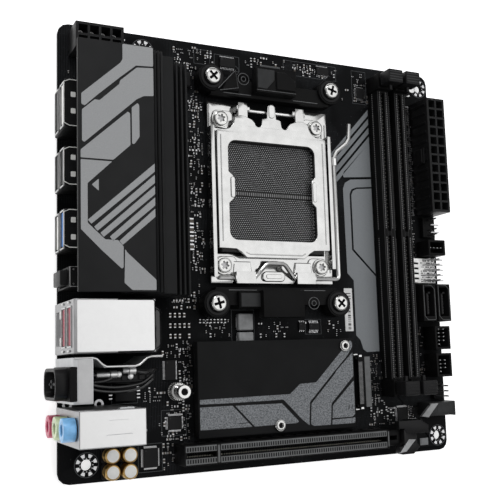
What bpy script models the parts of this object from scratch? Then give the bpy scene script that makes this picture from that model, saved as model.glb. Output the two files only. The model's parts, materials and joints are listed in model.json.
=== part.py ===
"""A Mini-ITX motherboard with its processor socket, slots, headers, rear connectors and heatsinks.

Lengths below are millimetres in the board's frame: x runs from the rear connector edge to the power
header edge, y from the expansion slot edge to the opposite edge, and z up from the board's top face.
The board's frame hangs from one empty, placed so that the whole object stands on z = 0 with its
bounding box centred on the origin.
"""
import math

import bmesh
import bpy
from mathutils import Matrix, Vector

MM = 0.001

# Board and what stands under it
BOARD = 170.0
BOARD_T = 1.6
CORNER_R = 4.0
GAP = 0.3
BACKPLATE_T = 2.0
BACKPLATE_HALF = (34.0, 52.0)
BACKPLATE_CORNER_R = 7.0
BUSH_R, BUSH_TOP = 3.4, 2.0
BUSH_HOLE_R = 3.8
SCREW_HOLE_R = 2.0
UNDERSIDE = -(BOARD_T + GAP + BACKPLATE_T)
HOLE_R = 1.98
RING_R = 4.8
RING_H = 0.1
MOUNT_HOLES = ((10.16, 6.35), (165.1, 6.35), (165.1, 163.83), (33.02, 163.83))

# Processor socket, counted from its centre
SOCKET_X, SOCKET_Y = 85.7, 108.5
COOLER_DX, COOLER_DY = 27.0, 45.0
FRAME_SCREW_DX, FRAME_SCREW_DY = 21.8, 29.7
FRAME_Z = (1.2, 2.7)
PLATE_Z = (5.5, 6.7)
PLATE_AXIS_Y, PLATE_AXIS_Z = 142.5, 4.2
PLATE_ROD_R = 0.9
LEVER_AXIS_Y, LEVER_AXIS_Z = 74.0, 4.0
LEVER_R = 0.95
LEVER_ARM_X = 115.7
COOLER_SCREW_R = 1.75

# Memory slots
DIMM_X = (140.4, 149.3)
DIMM_Y = (31.4, 157.6)
DIMM_HALF = 2.95
DIMM_TOP = 7.4
GROOVE_FLOOR, GROOVE_HALF, CARD_KEY_Y = 2.6, 0.8, 94.0
TOWER, TOWER_TOP, FORK_FLOOR = 7.0, 10.0, 3.4
LATCH_TOP, LATCH_PAD = 18.2, 6.8
LATCH_AXIS_Z = 5.6
LATCH_AXIS_IN = 4.0

# Expansion slot
PCIE_X, PCIE_Y, PCIE_TOP = (43.2, 132.2), (4.0, 11.5), 11.25
PCIE_LATCH_X, PCIE_LATCH_Z = 141.5, 3.2

# Rear connectors; their mouths face -x
MOUTH_X = -1.0
AUDIO_Y, AUDIO_TOP, AUDIO_BACK = (15.2, 27.2), 35.0, 21.6
JACK_Z = (7.2, 18.3, 29.4)
JACK_R, JACK_BORE_R, JACK_FRONT = 3.9, 1.9, -5.0
LAN_Y, LAN_TOP, LAN_BACK = (45.5, 63.5), 29.7, 27.0
ANTENNA_FRONT = -6.0
BRACKET_FENCE_T = 0.5
BUTTON_Y, BUTTON_Z, BUTTON_HALF = 71.9, 9.8, 2.6
BUTTON_EXTRA_HEIGHT = 3.0

# Power headers: cells on a square pitch
CELL_PITCH, CELL, CELL_FLOOR, HEADER_TOP = 4.2, 3.4, 3.8, 12.8
ATX_CORNER, ATX_CELLS = (159.9, 103.6), (2, 12)
EPS_CORNER, EPS_CELLS = (3.9, 156.9), (4, 2)

ROUND = 24
SMALL_ROUND = 16

PARTS = "motherboard"
CUTTERS = "motherboard_cutters"
TURNED_TO = {
    "Z": Matrix.Identity(4),
    "X": Matrix.Rotation(math.radians(90), 4, "Y"),
    "Y": Matrix.Rotation(math.radians(-90), 4, "X"),
}

FINISHES = {
    "board": ((0.012, 0.013, 0.014), 0.55, 0.0),
    "steel": ((0.72, 0.72, 0.72), 0.22, 1.0),
    "tin": ((0.80, 0.80, 0.80), 0.30, 1.0),
    "black_plastic": ((0.012, 0.012, 0.013), 0.45, 0.0),
    "grey_plastic": ((0.30, 0.31, 0.32), 0.50, 0.0),
    "white_plastic": ((0.80, 0.80, 0.78), 0.45, 0.0),
    "dark_contacts": ((0.10, 0.10, 0.10), 0.40, 0.3),
    "heatsink": ((0.028, 0.029, 0.030), 0.50, 0.4),
    "pad": ((0.30, 0.33, 0.36), 0.90, 0.0),
    "chip": ((0.020, 0.020, 0.022), 0.45, 0.0),
    "pink": ((0.60, 0.10, 0.18), 0.40, 0.0),
    "green": ((0.52, 0.62, 0.38), 0.40, 0.0),
    "blue": ((0.25, 0.50, 0.80), 0.40, 0.0),
}


# ---------------------------------------------------------------- scene and materials

def clear_scene():
    for obj in list(bpy.data.objects):
        bpy.data.objects.remove(obj, do_unlink=True)


def new_collection(name):
    group = bpy.data.collections.new(name)
    bpy.context.scene.collection.children.link(group)
    return group


def new_material(name, colour, roughness, metallic):
    material = bpy.data.materials.new(name)
    material.use_nodes = True
    shader = material.node_tree.nodes["Principled BSDF"]
    shader.inputs["Base Color"].default_value = (*colour, 1)
    shader.inputs["Roughness"].default_value = roughness
    shader.inputs["Metallic"].default_value = metallic
    return material


# ---------------------------------------------------------------- shapes, as bmeshes in board millimetres

def box(x, y, z):
    """A box between two values of each coordinate."""
    shape = bmesh.new()
    bmesh.ops.create_cube(shape, size=1)
    for vert in shape.verts:
        vert.co = Vector([(s[0] + s[1]) / 2 + c * (s[1] - s[0]) for c, s in zip(vert.co, (x, y, z))])
    return shape


def centred_box(centre, half, z):
    """A box by its centre and half sides in x and y."""
    return box((centre[0] - half[0], centre[0] + half[0]), (centre[1] - half[1], centre[1] + half[1]), z)


def cylinder(base, radius, length, axis="Z", sides=ROUND, far_radius=None):
    """A cylinder or cone from the centre of its first cap, along +axis."""
    shape = bmesh.new()
    far = radius if far_radius is None else far_radius
    bmesh.ops.create_cone(
        shape, cap_ends=True, segments=sides, radius1=radius, radius2=far, depth=length
    )
    bmesh.ops.translate(shape, vec=(0, 0, length / 2), verts=shape.verts)
    bmesh.ops.transform(shape, matrix=Matrix.Translation(base) @ TURNED_TO[axis], verts=shape.verts)
    return shape


def prism(points, span, axis="Z"):
    """An outline run along an axis. Its points are (x, y) for Z, (y, z) for X and (x, z) for Y."""
    curve = bpy.data.curves.new("outline", "CURVE")
    curve.dimensions = "2D"
    curve.fill_mode = "BOTH"
    curve.extrude = (span[1] - span[0]) / 2
    spline = curve.splines.new("POLY")
    spline.points.add(len(points) - 1)
    for point, (u, v) in zip(spline.points, points):
        point.co = (u, v, 0, 1)
    spline.use_cyclic_u = True
    shape = shape_of_curve(curve)
    middle = (span[0] + span[1]) / 2
    places = {
        "Z": lambda c: Vector((c.x, c.y, c.z + middle)),
        "X": lambda c: Vector((c.z + middle, c.x, c.y)),
        "Y": lambda c: Vector((c.x, c.z + middle, c.y)),
    }
    for vert in shape.verts:
        vert.co = places[axis](vert.co)
    bmesh.ops.recalc_face_normals(shape, faces=shape.faces)
    return shape


def shape_of_curve(curve):
    """The welded bmesh of a curve, which is then removed."""
    guide = bpy.data.objects.new("guide", curve)
    bpy.context.scene.collection.objects.link(guide)
    graph = bpy.context.evaluated_depsgraph_get()
    mesh = bpy.data.meshes.new_from_object(guide.evaluated_get(graph))
    shape = bmesh.new()
    shape.from_mesh(mesh)
    bmesh.ops.remove_doubles(shape, verts=shape.verts, dist=1e-4)
    bpy.data.objects.remove(guide, do_unlink=True)
    bpy.data.curves.remove(curve)
    bpy.data.meshes.remove(mesh)
    return shape


def wire(points, radius):
    """A round wire through the points, with its ends capped."""
    curve = bpy.data.curves.new("wire", "CURVE")
    curve.dimensions = "3D"
    curve.bevel_depth = radius
    curve.bevel_resolution = 2
    curve.use_fill_caps = True
    spline = curve.splines.new("POLY")
    spline.points.add(len(points) - 1)
    for point, place in zip(spline.points, points):
        point.co = (*place, 1)
    return shape_of_curve(curve)


def arc(centre, radius, start, end, steps):
    """Points on an arc, from one angle in degrees to another."""
    angles = (math.radians(start + (end - start) * i / steps) for i in range(steps + 1))
    return [(centre[0] + radius * math.cos(a), centre[1] + radius * math.sin(a)) for a in angles]


def rounded(x, y, radius, steps=3):
    """The outline of a rectangle with round corners."""
    corners = (
        (x[1] - radius, y[1] - radius, 0),
        (x[0] + radius, y[1] - radius, 90),
        (x[0] + radius, y[0] + radius, 180),
        (x[1] - radius, y[0] + radius, 270),
    )
    return [p for cx, cy, a in corners for p in arc((cx, cy), radius, a, a + 90, steps)]


def strip(path, thickness):
    """The outline of a bent strip that follows a path, with mitred corners."""
    sides = ([], [])
    for i, here in enumerate(path):
        before = (Vector(here) - Vector(path[i - 1])).normalized() if i else None
        after = (Vector(path[i + 1]) - Vector(here)).normalized() if i + 1 < len(path) else before
        normals = [Vector((-d.y, d.x)) for d in (before or after, after)]
        mitre = (normals[0] + normals[1]).normalized()
        reach = mitre * thickness / 2 / mitre.dot(normals[0])
        sides[0].append(tuple(Vector(here) + reach))
        sides[1].append(tuple(Vector(here) - reach))
    return sides[0] + sides[1][::-1]


def grid_of_boxes(corner, pitch, counts, side, z):
    """Square boxes on a pitch, as one shape; corner is the grid's own corner."""
    shape = bmesh.new()
    for i in range(counts[0]):
        for j in range(counts[1]):
            centre = (corner[0] + (i + 0.5) * pitch, corner[1] + (j + 0.5) * pitch)
            cell = centred_box(centre, (side / 2, side / 2), z)
            join(shape, cell)
    return shape


def join(shape, other):
    """Adds one bmesh's faces to another's, and frees it."""
    mesh = bpy.data.meshes.new("joined")
    other.to_mesh(mesh)
    shape.from_mesh(mesh)
    bpy.data.meshes.remove(mesh)
    other.free()


def together(*shapes):
    """Several shapes that don't touch, as one."""
    for shape in shapes[1:]:
        join(shapes[0], shape)
    return shapes[0]


# ---------------------------------------------------------------- from shapes to parts

def to_object(name, shape, pivot, collection, parent):
    """An object whose origin is at pivot; its mesh is in metres around it."""
    for vert in shape.verts:
        vert.co = (vert.co - Vector(pivot)) * MM
    mesh = bpy.data.meshes.new(name)
    shape.to_mesh(mesh)
    shape.free()
    obj = bpy.data.objects.new(name, mesh)
    obj.location = Vector(pivot) * MM
    obj.parent = parent
    collection.objects.link(obj)
    return obj


class Workshop:
    """Makes the parts of one object under one parent."""

    def __init__(self, origin, parts, cutters):
        self.origin = origin
        self.parts = parts
        self.cutters = cutters
        self.materials = {name: new_material(name, *look) for name, look in FINISHES.items()}

    def tool(self, owner, operation, shape, number):
        """One hidden operand of a Boolean on owner."""
        name = f"{owner.name}_{operation.lower()}_{number}"
        helper = to_object(name, shape, (0, 0, 0), self.cutters, self.origin)
        helper.hide_render = True
        helper.display_type = "WIRE"
        modifier = owner.modifiers.new(name, "BOOLEAN")
        modifier.operation = operation
        modifier.object = helper

    def part(self, name, finish, shape, add=(), cut=(), pivot=None):
        """A sub-part: the first shape, with the shapes in add joined on and those in cut taken away."""
        if pivot is None:
            low = [min(v.co[i] for v in shape.verts) for i in range(3)]
            high = [max(v.co[i] for v in shape.verts) for i in range(3)]
            pivot = [(a + b) / 2 for a, b in zip(low, high)]
        obj = to_object(name, shape, pivot, self.parts, self.origin)
        obj.data.materials.append(self.materials[finish])
        for number, extra in enumerate(add):
            self.tool(obj, "UNION", extra, number)
        for number, hollow in enumerate(cut):
            self.tool(obj, "DIFFERENCE", hollow, number)
        obj.data.shade_smooth()
        obj.data.set_sharp_from_angle(angle=math.radians(35))
        return obj


# ---------------------------------------------------------------- board and socket

def cooler_points():
    return [
        (SOCKET_X + sx * COOLER_DX, SOCKET_Y + sy * COOLER_DY) for sy in (1, -1) for sx in (-1, 1)
    ]


def frame_screw_points():
    return [
        (SOCKET_X + sx * FRAME_SCREW_DX, SOCKET_Y + sy * FRAME_SCREW_DY)
        for sy in (1, -1)
        for sx in (-1, 1)
    ]


def holes(points, radius, z, sides=ROUND):
    """Round holes at points, as one cutter between two heights."""
    return together(*[cylinder((x, y, z[0]), radius, z[1] - z[0], sides=sides) for x, y in points])


def make_board(shop):
    outline = rounded((0, BOARD), (0, BOARD), CORNER_R)
    rings = [
        cylinder((x, y, -BOARD_T - RING_H), RING_R, BOARD_T + 2 * RING_H) for x, y in MOUNT_HOLES
    ]
    through = (-BOARD_T - 1, 1)
    shop.part(
        "pcb",
        "board",
        prism(outline, (-BOARD_T, 0)),
        add=rings,
        cut=[
            holes(MOUNT_HOLES, HOLE_R, through),
            holes(cooler_points(), BUSH_HOLE_R, through),
            holes(frame_screw_points(), SCREW_HOLE_R, through, SMALL_ROUND),
        ],
    )


def make_backplate(shop):
    """The steel plate under the board, with the four bushes that the cooler screws go into."""
    top = UNDERSIDE + BACKPLATE_T
    half_x, half_y = BACKPLATE_HALF
    outline = rounded(
        (SOCKET_X - half_x, SOCKET_X + half_x), (SOCKET_Y - half_y, SOCKET_Y + half_y), BACKPLATE_CORNER_R
    )
    foot = top - 0.5
    bushes = [
        cylinder((x, y, foot), BUSH_R, BUSH_TOP - foot, sides=SMALL_ROUND) for x, y in cooler_points()
    ]
    shop.part(
        "cpu_backplate",
        "steel",
        prism(outline, (UNDERSIDE, top)),
        add=bushes,
        cut=[
            holes(cooler_points(), COOLER_SCREW_R + GAP, (UNDERSIDE + 0.5, 3), SMALL_ROUND),
            holes(frame_screw_points(), 1.8, (UNDERSIDE + 0.4, top + 1), SMALL_ROUND),
        ],
    )


def make_socket_housing(shop):
    """The plastic land-grid housing: a rim round the contact field that the processor lies on."""
    shop.part(
        "socket_housing",
        "dark_contacts",
        centred_box((SOCKET_X, SOCKET_Y), (23.0, 24.3), (GAP, 5.2)),
        cut=[centred_box((SOCKET_X, SOCKET_Y), (20.5, 20.5), (3.2, 6.0))],
    )


def make_socket_frame(shop):
    """The stamped frame: side rails, screw wings, bearings for the lever and ears for the plate's rod."""
    left, right = SOCKET_X - 27.0, SOCKET_X + 27.7
    low, high = 72.0, 145.4
    outline = [
        (left, low), (right, low), (right, high), (right - 11.5, high), (right - 14.5, 136.6),
        (left + 14.5, 136.6), (left + 11.5, high), (left, high),
    ]
    rail_z = (FRAME_Z[0], 6.2)
    rails = [
        box((left, left + 1.5), (74.0, 134.5), rail_z),
        box((right - 1.6, right), (78.0, 134.5), rail_z),
    ]
    bearings = [
        box((x - 4.2, x + 4.2), (LEVER_AXIS_Y - 2.4, LEVER_AXIS_Y + 2.2), (FRAME_Z[0], 6.4))
        for x in (SOCKET_X - 13.5, SOCKET_X + 13.5)
    ]
    ears = [
        box((x - 2, x + 2), (135.8, PLATE_AXIS_Y + 2.4), (FRAME_Z[0], 6.6))
        for x in (SOCKET_X - 13.0, SOCKET_X + 13.0)
    ]
    lever_bore = cylinder((left - 2, LEVER_AXIS_Y, LEVER_AXIS_Z), LEVER_R + 0.35, 60, "X", SMALL_ROUND)
    rod_bore = cylinder((left + 8, PLATE_AXIS_Y, PLATE_AXIS_Z), PLATE_ROD_R + 0.35, 40, "X", SMALL_ROUND)
    shop.part(
        "socket_frame",
        "steel",
        prism(outline, FRAME_Z),
        add=rails + bearings + ears,
        cut=[
            box((SOCKET_X - 24.2, SOCKET_X + 24.2), (83.6, 133.4), (0, 4)),
            holes(frame_screw_points(), SCREW_HOLE_R, (0, 4), SMALL_ROUND),
            together(lever_bore, rod_bore),
        ],
    )


def make_frame_screws(shop):
    for number, (x, y) in enumerate(frame_screw_points(), 1):
        head = cylinder((x, y, FRAME_Z[1] + GAP), 3.6, 2.0, sides=SMALL_ROUND, far_radius=3.0)
        shank = cylinder((x, y, UNDERSIDE + 0.7), 1.5, FRAME_Z[1] - UNDERSIDE, sides=SMALL_ROUND)
        shop.part(f"socket_screw_{number}", "steel", head, add=[shank])


def make_plate_rod(shop):
    start = SOCKET_X - 15.6
    rod = cylinder((start, PLATE_AXIS_Y, PLATE_AXIS_Z), PLATE_ROD_R, 31.2, "X", SMALL_ROUND)
    shop.part("load_plate_rod", "steel", rod)


def make_load_plate(shop):
    """The hinged plate that presses on the processor's rim. Its origin is on the hinge axis."""
    cx = SOCKET_X
    outline = [
        (cx - 14, 81.4), (cx + 14, 81.4), (cx + 17, 85.2), (cx + 24.2, 85.8), (cx + 24.2, 129.5),
        (cx + 17.5, 134.2), (cx - 17.5, 134.2), (cx - 24.2, 129.5), (cx - 24.2, 85.8), (cx - 17, 85.2),
    ]
    window = rounded((cx - 20.0, cx + 19.2), (88.8, 129.0), 3.5)
    lip = box((cx - 13.5, cx + 13.5), (81.7, 82.8), (3.7, PLATE_Z[1] - 0.2))
    knuckle = box((cx - 2.2, cx + 2.2), (132.5, PLATE_AXIS_Y + 2.3), (2.6, PLATE_Z[1] - 0.1))
    hollow = box((cx - 4, cx + 4), (131, PLATE_AXIS_Y - 2.4), (2, PLATE_Z[0] - 0.3))
    bore = cylinder((cx - 5, PLATE_AXIS_Y, PLATE_AXIS_Z), PLATE_ROD_R + 0.35, 10, "X", SMALL_ROUND)
    shop.part(
        "load_plate",
        "steel",
        prism(outline, PLATE_Z),
        add=[lip, knuckle],
        cut=[prism(window, (PLATE_Z[0] - 1, PLATE_Z[1] + 1)), hollow, bore],
        pivot=(cx, PLATE_AXIS_Y, PLATE_AXIS_Z),
    )


def make_load_lever(shop):
    """The bent wire: an axle along x with a crank in the middle, and an arm up the right side."""
    cx, y0, z0 = SOCKET_X, LEVER_AXIS_Y, LEVER_AXIS_Z
    bend = [(LEVER_ARM_X - 1.6 + p, y0 + 1.6 + q, z0) for p, q in arc((0, 0), 1.6, -90, 0, 3)]
    points = [
        (cx - 24, y0, z0), (cx - 9, y0, z0), (cx - 7.6, y0 + 1.6, z0 + 0.5),
        (cx - 4.6, y0 + 5.0, z0 + 1.3), (cx - 3.4, y0 + 5.7, z0 + 1.4), (cx + 3.4, y0 + 5.7, z0 + 1.4),
        (cx + 4.6, y0 + 5.0, z0 + 1.3), (cx + 7.6, y0 + 1.6, z0 + 0.5), (cx + 9, y0, z0),
        *bend, (LEVER_ARM_X, 123.0, z0), (LEVER_ARM_X, 126.0, z0 + 0.1),
        (LEVER_ARM_X + 1.2, 128.8, z0 + 0.5), (LEVER_ARM_X + 5.6, 132.4, z0 + 1.2),
        (LEVER_ARM_X + 6.9, 134.6, z0 + 1.5), (LEVER_ARM_X + 7.2, 141.0, z0 + 2.0),
    ]
    sleeve = cylinder((LEVER_ARM_X, 122.6, z0), LEVER_R + 0.55, 3.0, "Y", SMALL_ROUND)
    shop.part("load_lever", "steel", wire(points, LEVER_R), add=[sleeve], pivot=(cx, y0, z0))


def make_cooler_brackets(shop):
    """The two plastic brackets: a bar between screw lugs, with a hooked tower on the outer side."""
    z_bar, z_lug, z_tower = (2.3, 7.0), (2.3, 8.5), (2.3, 12.0)
    for name, side in (("cooler_bracket_top", 1), ("cooler_bracket_bottom", -1)):
        def along(a, b, side=side):
            ends = (SOCKET_Y + side * a, SOCKET_Y + side * b)
            return (min(ends), max(ends))

        y_screw = SOCKET_Y + side * COOLER_DY
        lugs = [
            cylinder((SOCKET_X + sx * COOLER_DX, y_screw, z_lug[0]), 5.4, z_lug[1] - z_lug[0])
            for sx in (-1, 1)
        ]
        tower = box((SOCKET_X - 9.0, SOCKET_X + 9.0), along(40.0, 50.6), z_tower)
        undercut = box((SOCKET_X - 10, SOCKET_X + 10), along(46.6, 52), (1.5, 7.6))
        points = [(SOCKET_X + sx * COOLER_DX, y_screw) for sx in (-1, 1)]
        shop.part(
            name,
            "black_plastic",
            box((SOCKET_X - 27, SOCKET_X + 27), along(38.6, 45.5), z_bar),
            add=lugs + [tower],
            cut=[undercut, holes(points, COOLER_SCREW_R + GAP, (1, 10), SMALL_ROUND)],
        )


def make_cooler_screws(shop):
    for number, (x, y) in enumerate(cooler_points(), 1):
        head = cylinder((x, y, 8.8), 3.4, 1.9, sides=SMALL_ROUND, far_radius=2.7)
        shank = cylinder((x, y, UNDERSIDE + 1.0), COOLER_SCREW_R, 9.0 - UNDERSIDE - 1.0, sides=SMALL_ROUND)
        shop.part(f"cooler_screw_{number}", "steel", head, add=[shank])


# ---------------------------------------------------------------- heatsinks and chips

def make_vrm_heatsink(shop):
    """An extrusion along y: a cover over the rear connectors, then ribs stepping down to the board."""
    top, under, core_under = 30.0, 28.0, 20.0
    outline = [(27.6, 3.0), (27.6, core_under), (18.0, core_under), (15.0, under), (0.6, under)]
    outline += [(0.6, top), (27.4, top)]
    for number in range(3):
        x = 27.4 + 1.4 * number
        outline += [(x + 0.3, top - 2.0), (x + 0.3, 25.0), (x + 0.8, 25.0), (x + 0.8, top - 2.6)]
    outline += [(31.9, 27.0), (31.9, 23.5), (37.2, 23.5), (37.2, 15.5)]
    for number in range(4):
        x = 37.8 + 1.8 * number
        outline += [(x, 15.5), (x, 19.5), (x + 0.8, 19.5), (x + 0.8, 15.5)]
    outline += [(45.4, 15.5), (45.4, 3.0)]
    shop.part("vrm_heatsink", "heatsink", prism(outline, (65.8, 153.2), "Y"))
    shop.part("vrm_thermal_pad", "pad", box((30.5, 43.5), (69, 150), (1.6, 2.7)))


def make_power_stages(shop):
    """The row of power transistors that the thermal pad lies on, as one moulded strip."""
    shop.part("vrm_power_stages", "chip", box((31.5, 42.5), (70, 149), (GAP, 1.3)))


def make_m2(shop):
    """The storage module's heatsink, its screws, its connector and the stand-off for the short card."""
    screws = ((115.2, 46.2), (84.4, 16.0))
    outline = [(50.6, 13.0), (119.5, 13.0), (119.5, 49.2), (50.6, 49.2)]
    shop.part(
        "m2_heatsink",
        "heatsink",
        prism(outline, (2.6, 7.0)),
        cut=[holes(screws, 1.7, (2, 8), SMALL_ROUND)],
    )
    for number, (x, y) in enumerate(screws, 1):
        head = cylinder((x, y, 7.3), 2.3, 1.0, sides=SMALL_ROUND, far_radius=1.9)
        shank = cylinder((x, y, GAP), 1.3, 7.2, sides=SMALL_ROUND)
        shop.part(f"m2_heatsink_screw_{number}", "steel", head, add=[shank])
    shop.part(
        "m2_connector",
        "black_plastic",
        box((123.2, 129.2), (20.4, 41.8), (GAP, 4.2)),
        cut=[box((122.0, 126.6), (21.4, 40.8), (1.6, 2.9))],
    )
    collar = cylinder((44.2, 30.8, GAP), 3.4, 3.7, sides=SMALL_ROUND)
    post = cylinder((44.2, 30.8, 3.0), 2.6, 7.0, sides=SMALL_ROUND)
    bore = cylinder((44.2, 30.8, 5.0), 1.1, 6, sides=SMALL_ROUND)
    shop.part("m2_standoff", "steel", collar, add=[post], cut=[bore])


def make_chips(shop):
    shop.part("chipset", "chip", box((74, 92), (22, 40), (GAP, 1.6)))
    shop.part("chipset_thermal_pad", "pad", box((75, 91), (23, 39), (1.75, 2.45)))
    shop.part("wireless_module", "chip", box((8.0, 29.0), (35.4, 39.8), (GAP, 21.0)))
    shop.part("bios_chip", "chip", box((20.4, 28.2), (28.2, 34.2), (GAP, 1.9)))


# ---------------------------------------------------------------- slots

def make_dimm_slot(shop, number, x):
    """A memory slot: a grooved bar with a fork at each end for its latch."""
    low, high = DIMM_Y
    groove_x = (x - GROOVE_HALF, x + GROOVE_HALF)
    grooves = together(
        box(groove_x, (low + 1, CARD_KEY_Y - 1), (GROOVE_FLOOR, DIMM_TOP + 1)),
        box(groove_x, (CARD_KEY_Y + 1, high - 1), (GROOVE_FLOOR, DIMM_TOP + 1)),
    )
    ends = (
        (high, high + TOWER, high + 1.2, high + TOWER + 1),
        (low - TOWER, low, low - TOWER - 1, low - 1.2),
    )
    towers = [
        box((x - 3.65, x + 3.65), (a - 0.01, b + 0.01), (GAP, TOWER_TOP)) for a, b, _, _ in ends
    ]
    forks = together(
        *[box((x - 2.45, x + 2.45), (c, d), (FORK_FLOOR, TOWER_TOP + 1)) for _, _, c, d in ends]
    )
    shop.part(
        f"memory_slot_{number}",
        "black_plastic",
        box((x - DIMM_HALF, x + DIMM_HALF), (low, high), (GAP, DIMM_TOP)),
        add=towers,
        cut=[grooves, forks],
    )


def make_dimm_latch(shop, name, x, end_y, side):
    """A latch that tips away from the slot; its origin is on its pivot. side is the way it tips."""
    def along(a, b):
        ends = (end_y + side * a, end_y + side * b)
        return (min(ends), max(ends))

    pivot = (x, end_y + side * LATCH_AXIS_IN, LATCH_AXIS_Z)
    foot = cylinder((x - 2.1, pivot[1], pivot[2]), 1.6, 4.2, "X", SMALL_ROUND)
    pad_z = LATCH_TOP - LATCH_PAD
    pad = box((x - 3.6, x + 3.6), along(0.6, 6.2), (pad_z, LATCH_TOP))
    nose = box((x - 0.7, x + 0.7), along(-1.6, 2), (pad_z + 1, pad_z + 2.8))
    shop.part(
        name,
        "black_plastic",
        box((x - 2.1, x + 2.1), along(2.4, 5.6), (LATCH_AXIS_Z, pad_z + 0.8)),
        add=[foot, pad, nose],
        pivot=pivot,
    )


def make_memory(shop):
    for number, x in enumerate(DIMM_X, 1):
        make_dimm_slot(shop, number, x)
        make_dimm_latch(shop, f"memory_latch_{number}_top", x, DIMM_Y[1], 1)
        make_dimm_latch(shop, f"memory_latch_{number}_bottom", x, DIMM_Y[0], -1)


def make_expansion_slot(shop):
    """The long card slot, with the end block that carries its latch."""
    middle = sum(PCIE_Y) / 2
    key = PCIE_X[0] + 12.6
    grooves = together(
        box((PCIE_X[0] + 1, key), (middle - 0.9, middle + 0.9), (3.3, PCIE_TOP + 1)),
        box((key + 1.8, PCIE_X[1] - 1), (middle - 0.9, middle + 0.9), (3.3, PCIE_TOP + 1)),
    )
    shop.part(
        "expansion_slot",
        "black_plastic",
        box(PCIE_X, PCIE_Y, (GAP, PCIE_TOP)),
        add=[box((PCIE_X[1] - 0.01, 139.0), (middle - 3.1, middle + 3.1), (GAP, 9.0))],
        cut=[grooves, box((134.0, 137.5), (middle - 0.9, middle + 0.9), (3.3, 10))],
    )
    wings = [
        prism([(137.2, 14.5), (137.2, 11.4), (139.6, 11.3), (141.0, 9.4), (151.8, 9.0), (152.0, 12.2),
               (148.0, 14.5)], (8.0, PCIE_TOP + 0.2)),
        prism([(137.2, 4.1), (137.2, 1.6), (138.4, 0.9), (144.0, 0.9), (147.2, 3.6), (145.0, 6.0),
               (141.0, 6.1), (139.6, 4.2)], (8.0, PCIE_TOP + 0.2)),
    ]
    shop.part(
        "expansion_slot_latch",
        "black_plastic",
        box((139.6, 145.8), (middle - 3.0, middle + 3.0), (PCIE_LATCH_Z, PCIE_TOP)),
        add=wings,
        pivot=(PCIE_LATCH_X, middle, PCIE_LATCH_Z),
    )


# ---------------------------------------------------------------- headers

def make_power_header(shop, name, corner, counts):
    size = [count * CELL_PITCH + 1.2 for count in counts]
    cells = grid_of_boxes(
        (corner[0] + 0.6, corner[1] + 0.6), CELL_PITCH, counts, CELL, (CELL_FLOOR, HEADER_TOP + 1)
    )
    body = box((corner[0], corner[0] + size[0]), (corner[1], corner[1] + size[1]), (GAP, HEADER_TOP))
    shop.part(name, "black_plastic", body, cut=[cells])


def make_power_headers(shop):
    make_power_header(shop, "main_power_header", ATX_CORNER, ATX_CELLS)
    make_power_header(shop, "cpu_power_header", EPS_CORNER, EPS_CELLS)


def make_open_header(shop, name, x, y, height, wall=1.0, floor=1.6, finish="black_plastic"):
    """A shrouded header: a box open at the top."""
    body = box(x, y, (GAP, height))
    room = box((x[0] + wall, x[1] - wall), (y[0] + wall, y[1] - wall), (floor, height + 1))
    shop.part(name, finish, body, cut=[room])


def make_headers(shop):
    make_open_header(shop, "fan_header", (159.4, 168.4), (84.8, 91.6), 9.0)
    make_open_header(shop, "front_usb_header_1", (160.2, 168.2), (43.6, 53.6), 9.0)
    make_open_header(shop, "front_usb_header_2", (160.2, 168.2), (31.8, 41.9), 9.0)
    shop.part("lighting_header", "black_plastic", box((161.6, 168.0), (93.6, 102.6), (GAP, 2.8)))
    shop.part("front_panel_header", "white_plastic", box((153.4, 166.8), (73.0, 84.0), (GAP, 2.8)))
    shop.part("audio_front_header", "black_plastic", box((162.4, 167.4), (22.2, 29.0), (GAP, 2.8)))
    for number, x in enumerate((154.9, 162.7), 1):
        shop.part(
            f"sata_connector_{number}",
            "black_plastic",
            box((x, x + 6.9), (55.8, 72.0), (GAP, 8.9)),
            cut=[box((x + 1.1, x + 5.8), (58.0, 70.6), (2.2, 10))],
        )
    shop.part(
        "front_usb3_connector",
        "grey_plastic",
        box((155.4, 169.0), (15.4, 21.0), (GAP, 8.4)),
        cut=[box((158.0, 170.0), (15.9, 20.5), (2.2, 7.0))],
    )


# ---------------------------------------------------------------- rear connectors

def make_connector_stack(shop, name, finish, y, top, back, mouths):
    """A shell with mouths in its rear face; each mouth is its y and z ranges and its depth."""
    hollows = [box((MOUTH_X - 1, MOUTH_X + depth), span_y, span_z) for span_y, span_z, depth in mouths]
    shop.part(name, finish, box((MOUTH_X, back), y, (GAP, top)), cut=[together(*hollows)])


def mouth_pair(middle, width, height, depth, floors):
    half = width / 2
    return [((middle - half, middle + half), (z, z + height), depth) for z in floors]


def make_rear_connectors(shop):
    make_connector_stack(
        shop, "display_connector", "tin", (125.0, 142.4), 17.6, 14,
        mouth_pair(133.7, 15.4, 5.2, 11, (2.0, 10.6)),
    )
    make_connector_stack(
        shop, "usb_stack_lower_speed", "tin", (104.0, 118.0), 17.4, 15,
        mouth_pair(111.0, 13.0, 5.3, 12, (2.2, 10.4)),
    )
    make_connector_stack(
        shop, "usb_stack_high_speed", "tin", (81.8, 95.8), 17.4, 15,
        mouth_pair(88.8, 13.0, 5.3, 12, (2.2, 10.4)),
    )
    lan_middle = sum(LAN_Y) / 2
    make_connector_stack(
        shop, "network_usb_stack", "tin", LAN_Y, LAN_TOP, LAN_BACK,
        mouth_pair(lan_middle, 13.0, 5.3, 14, (12.6, 21.4))
        + mouth_pair(lan_middle, 12.0, 8.2, 14, (2.0,)),
    )


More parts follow.
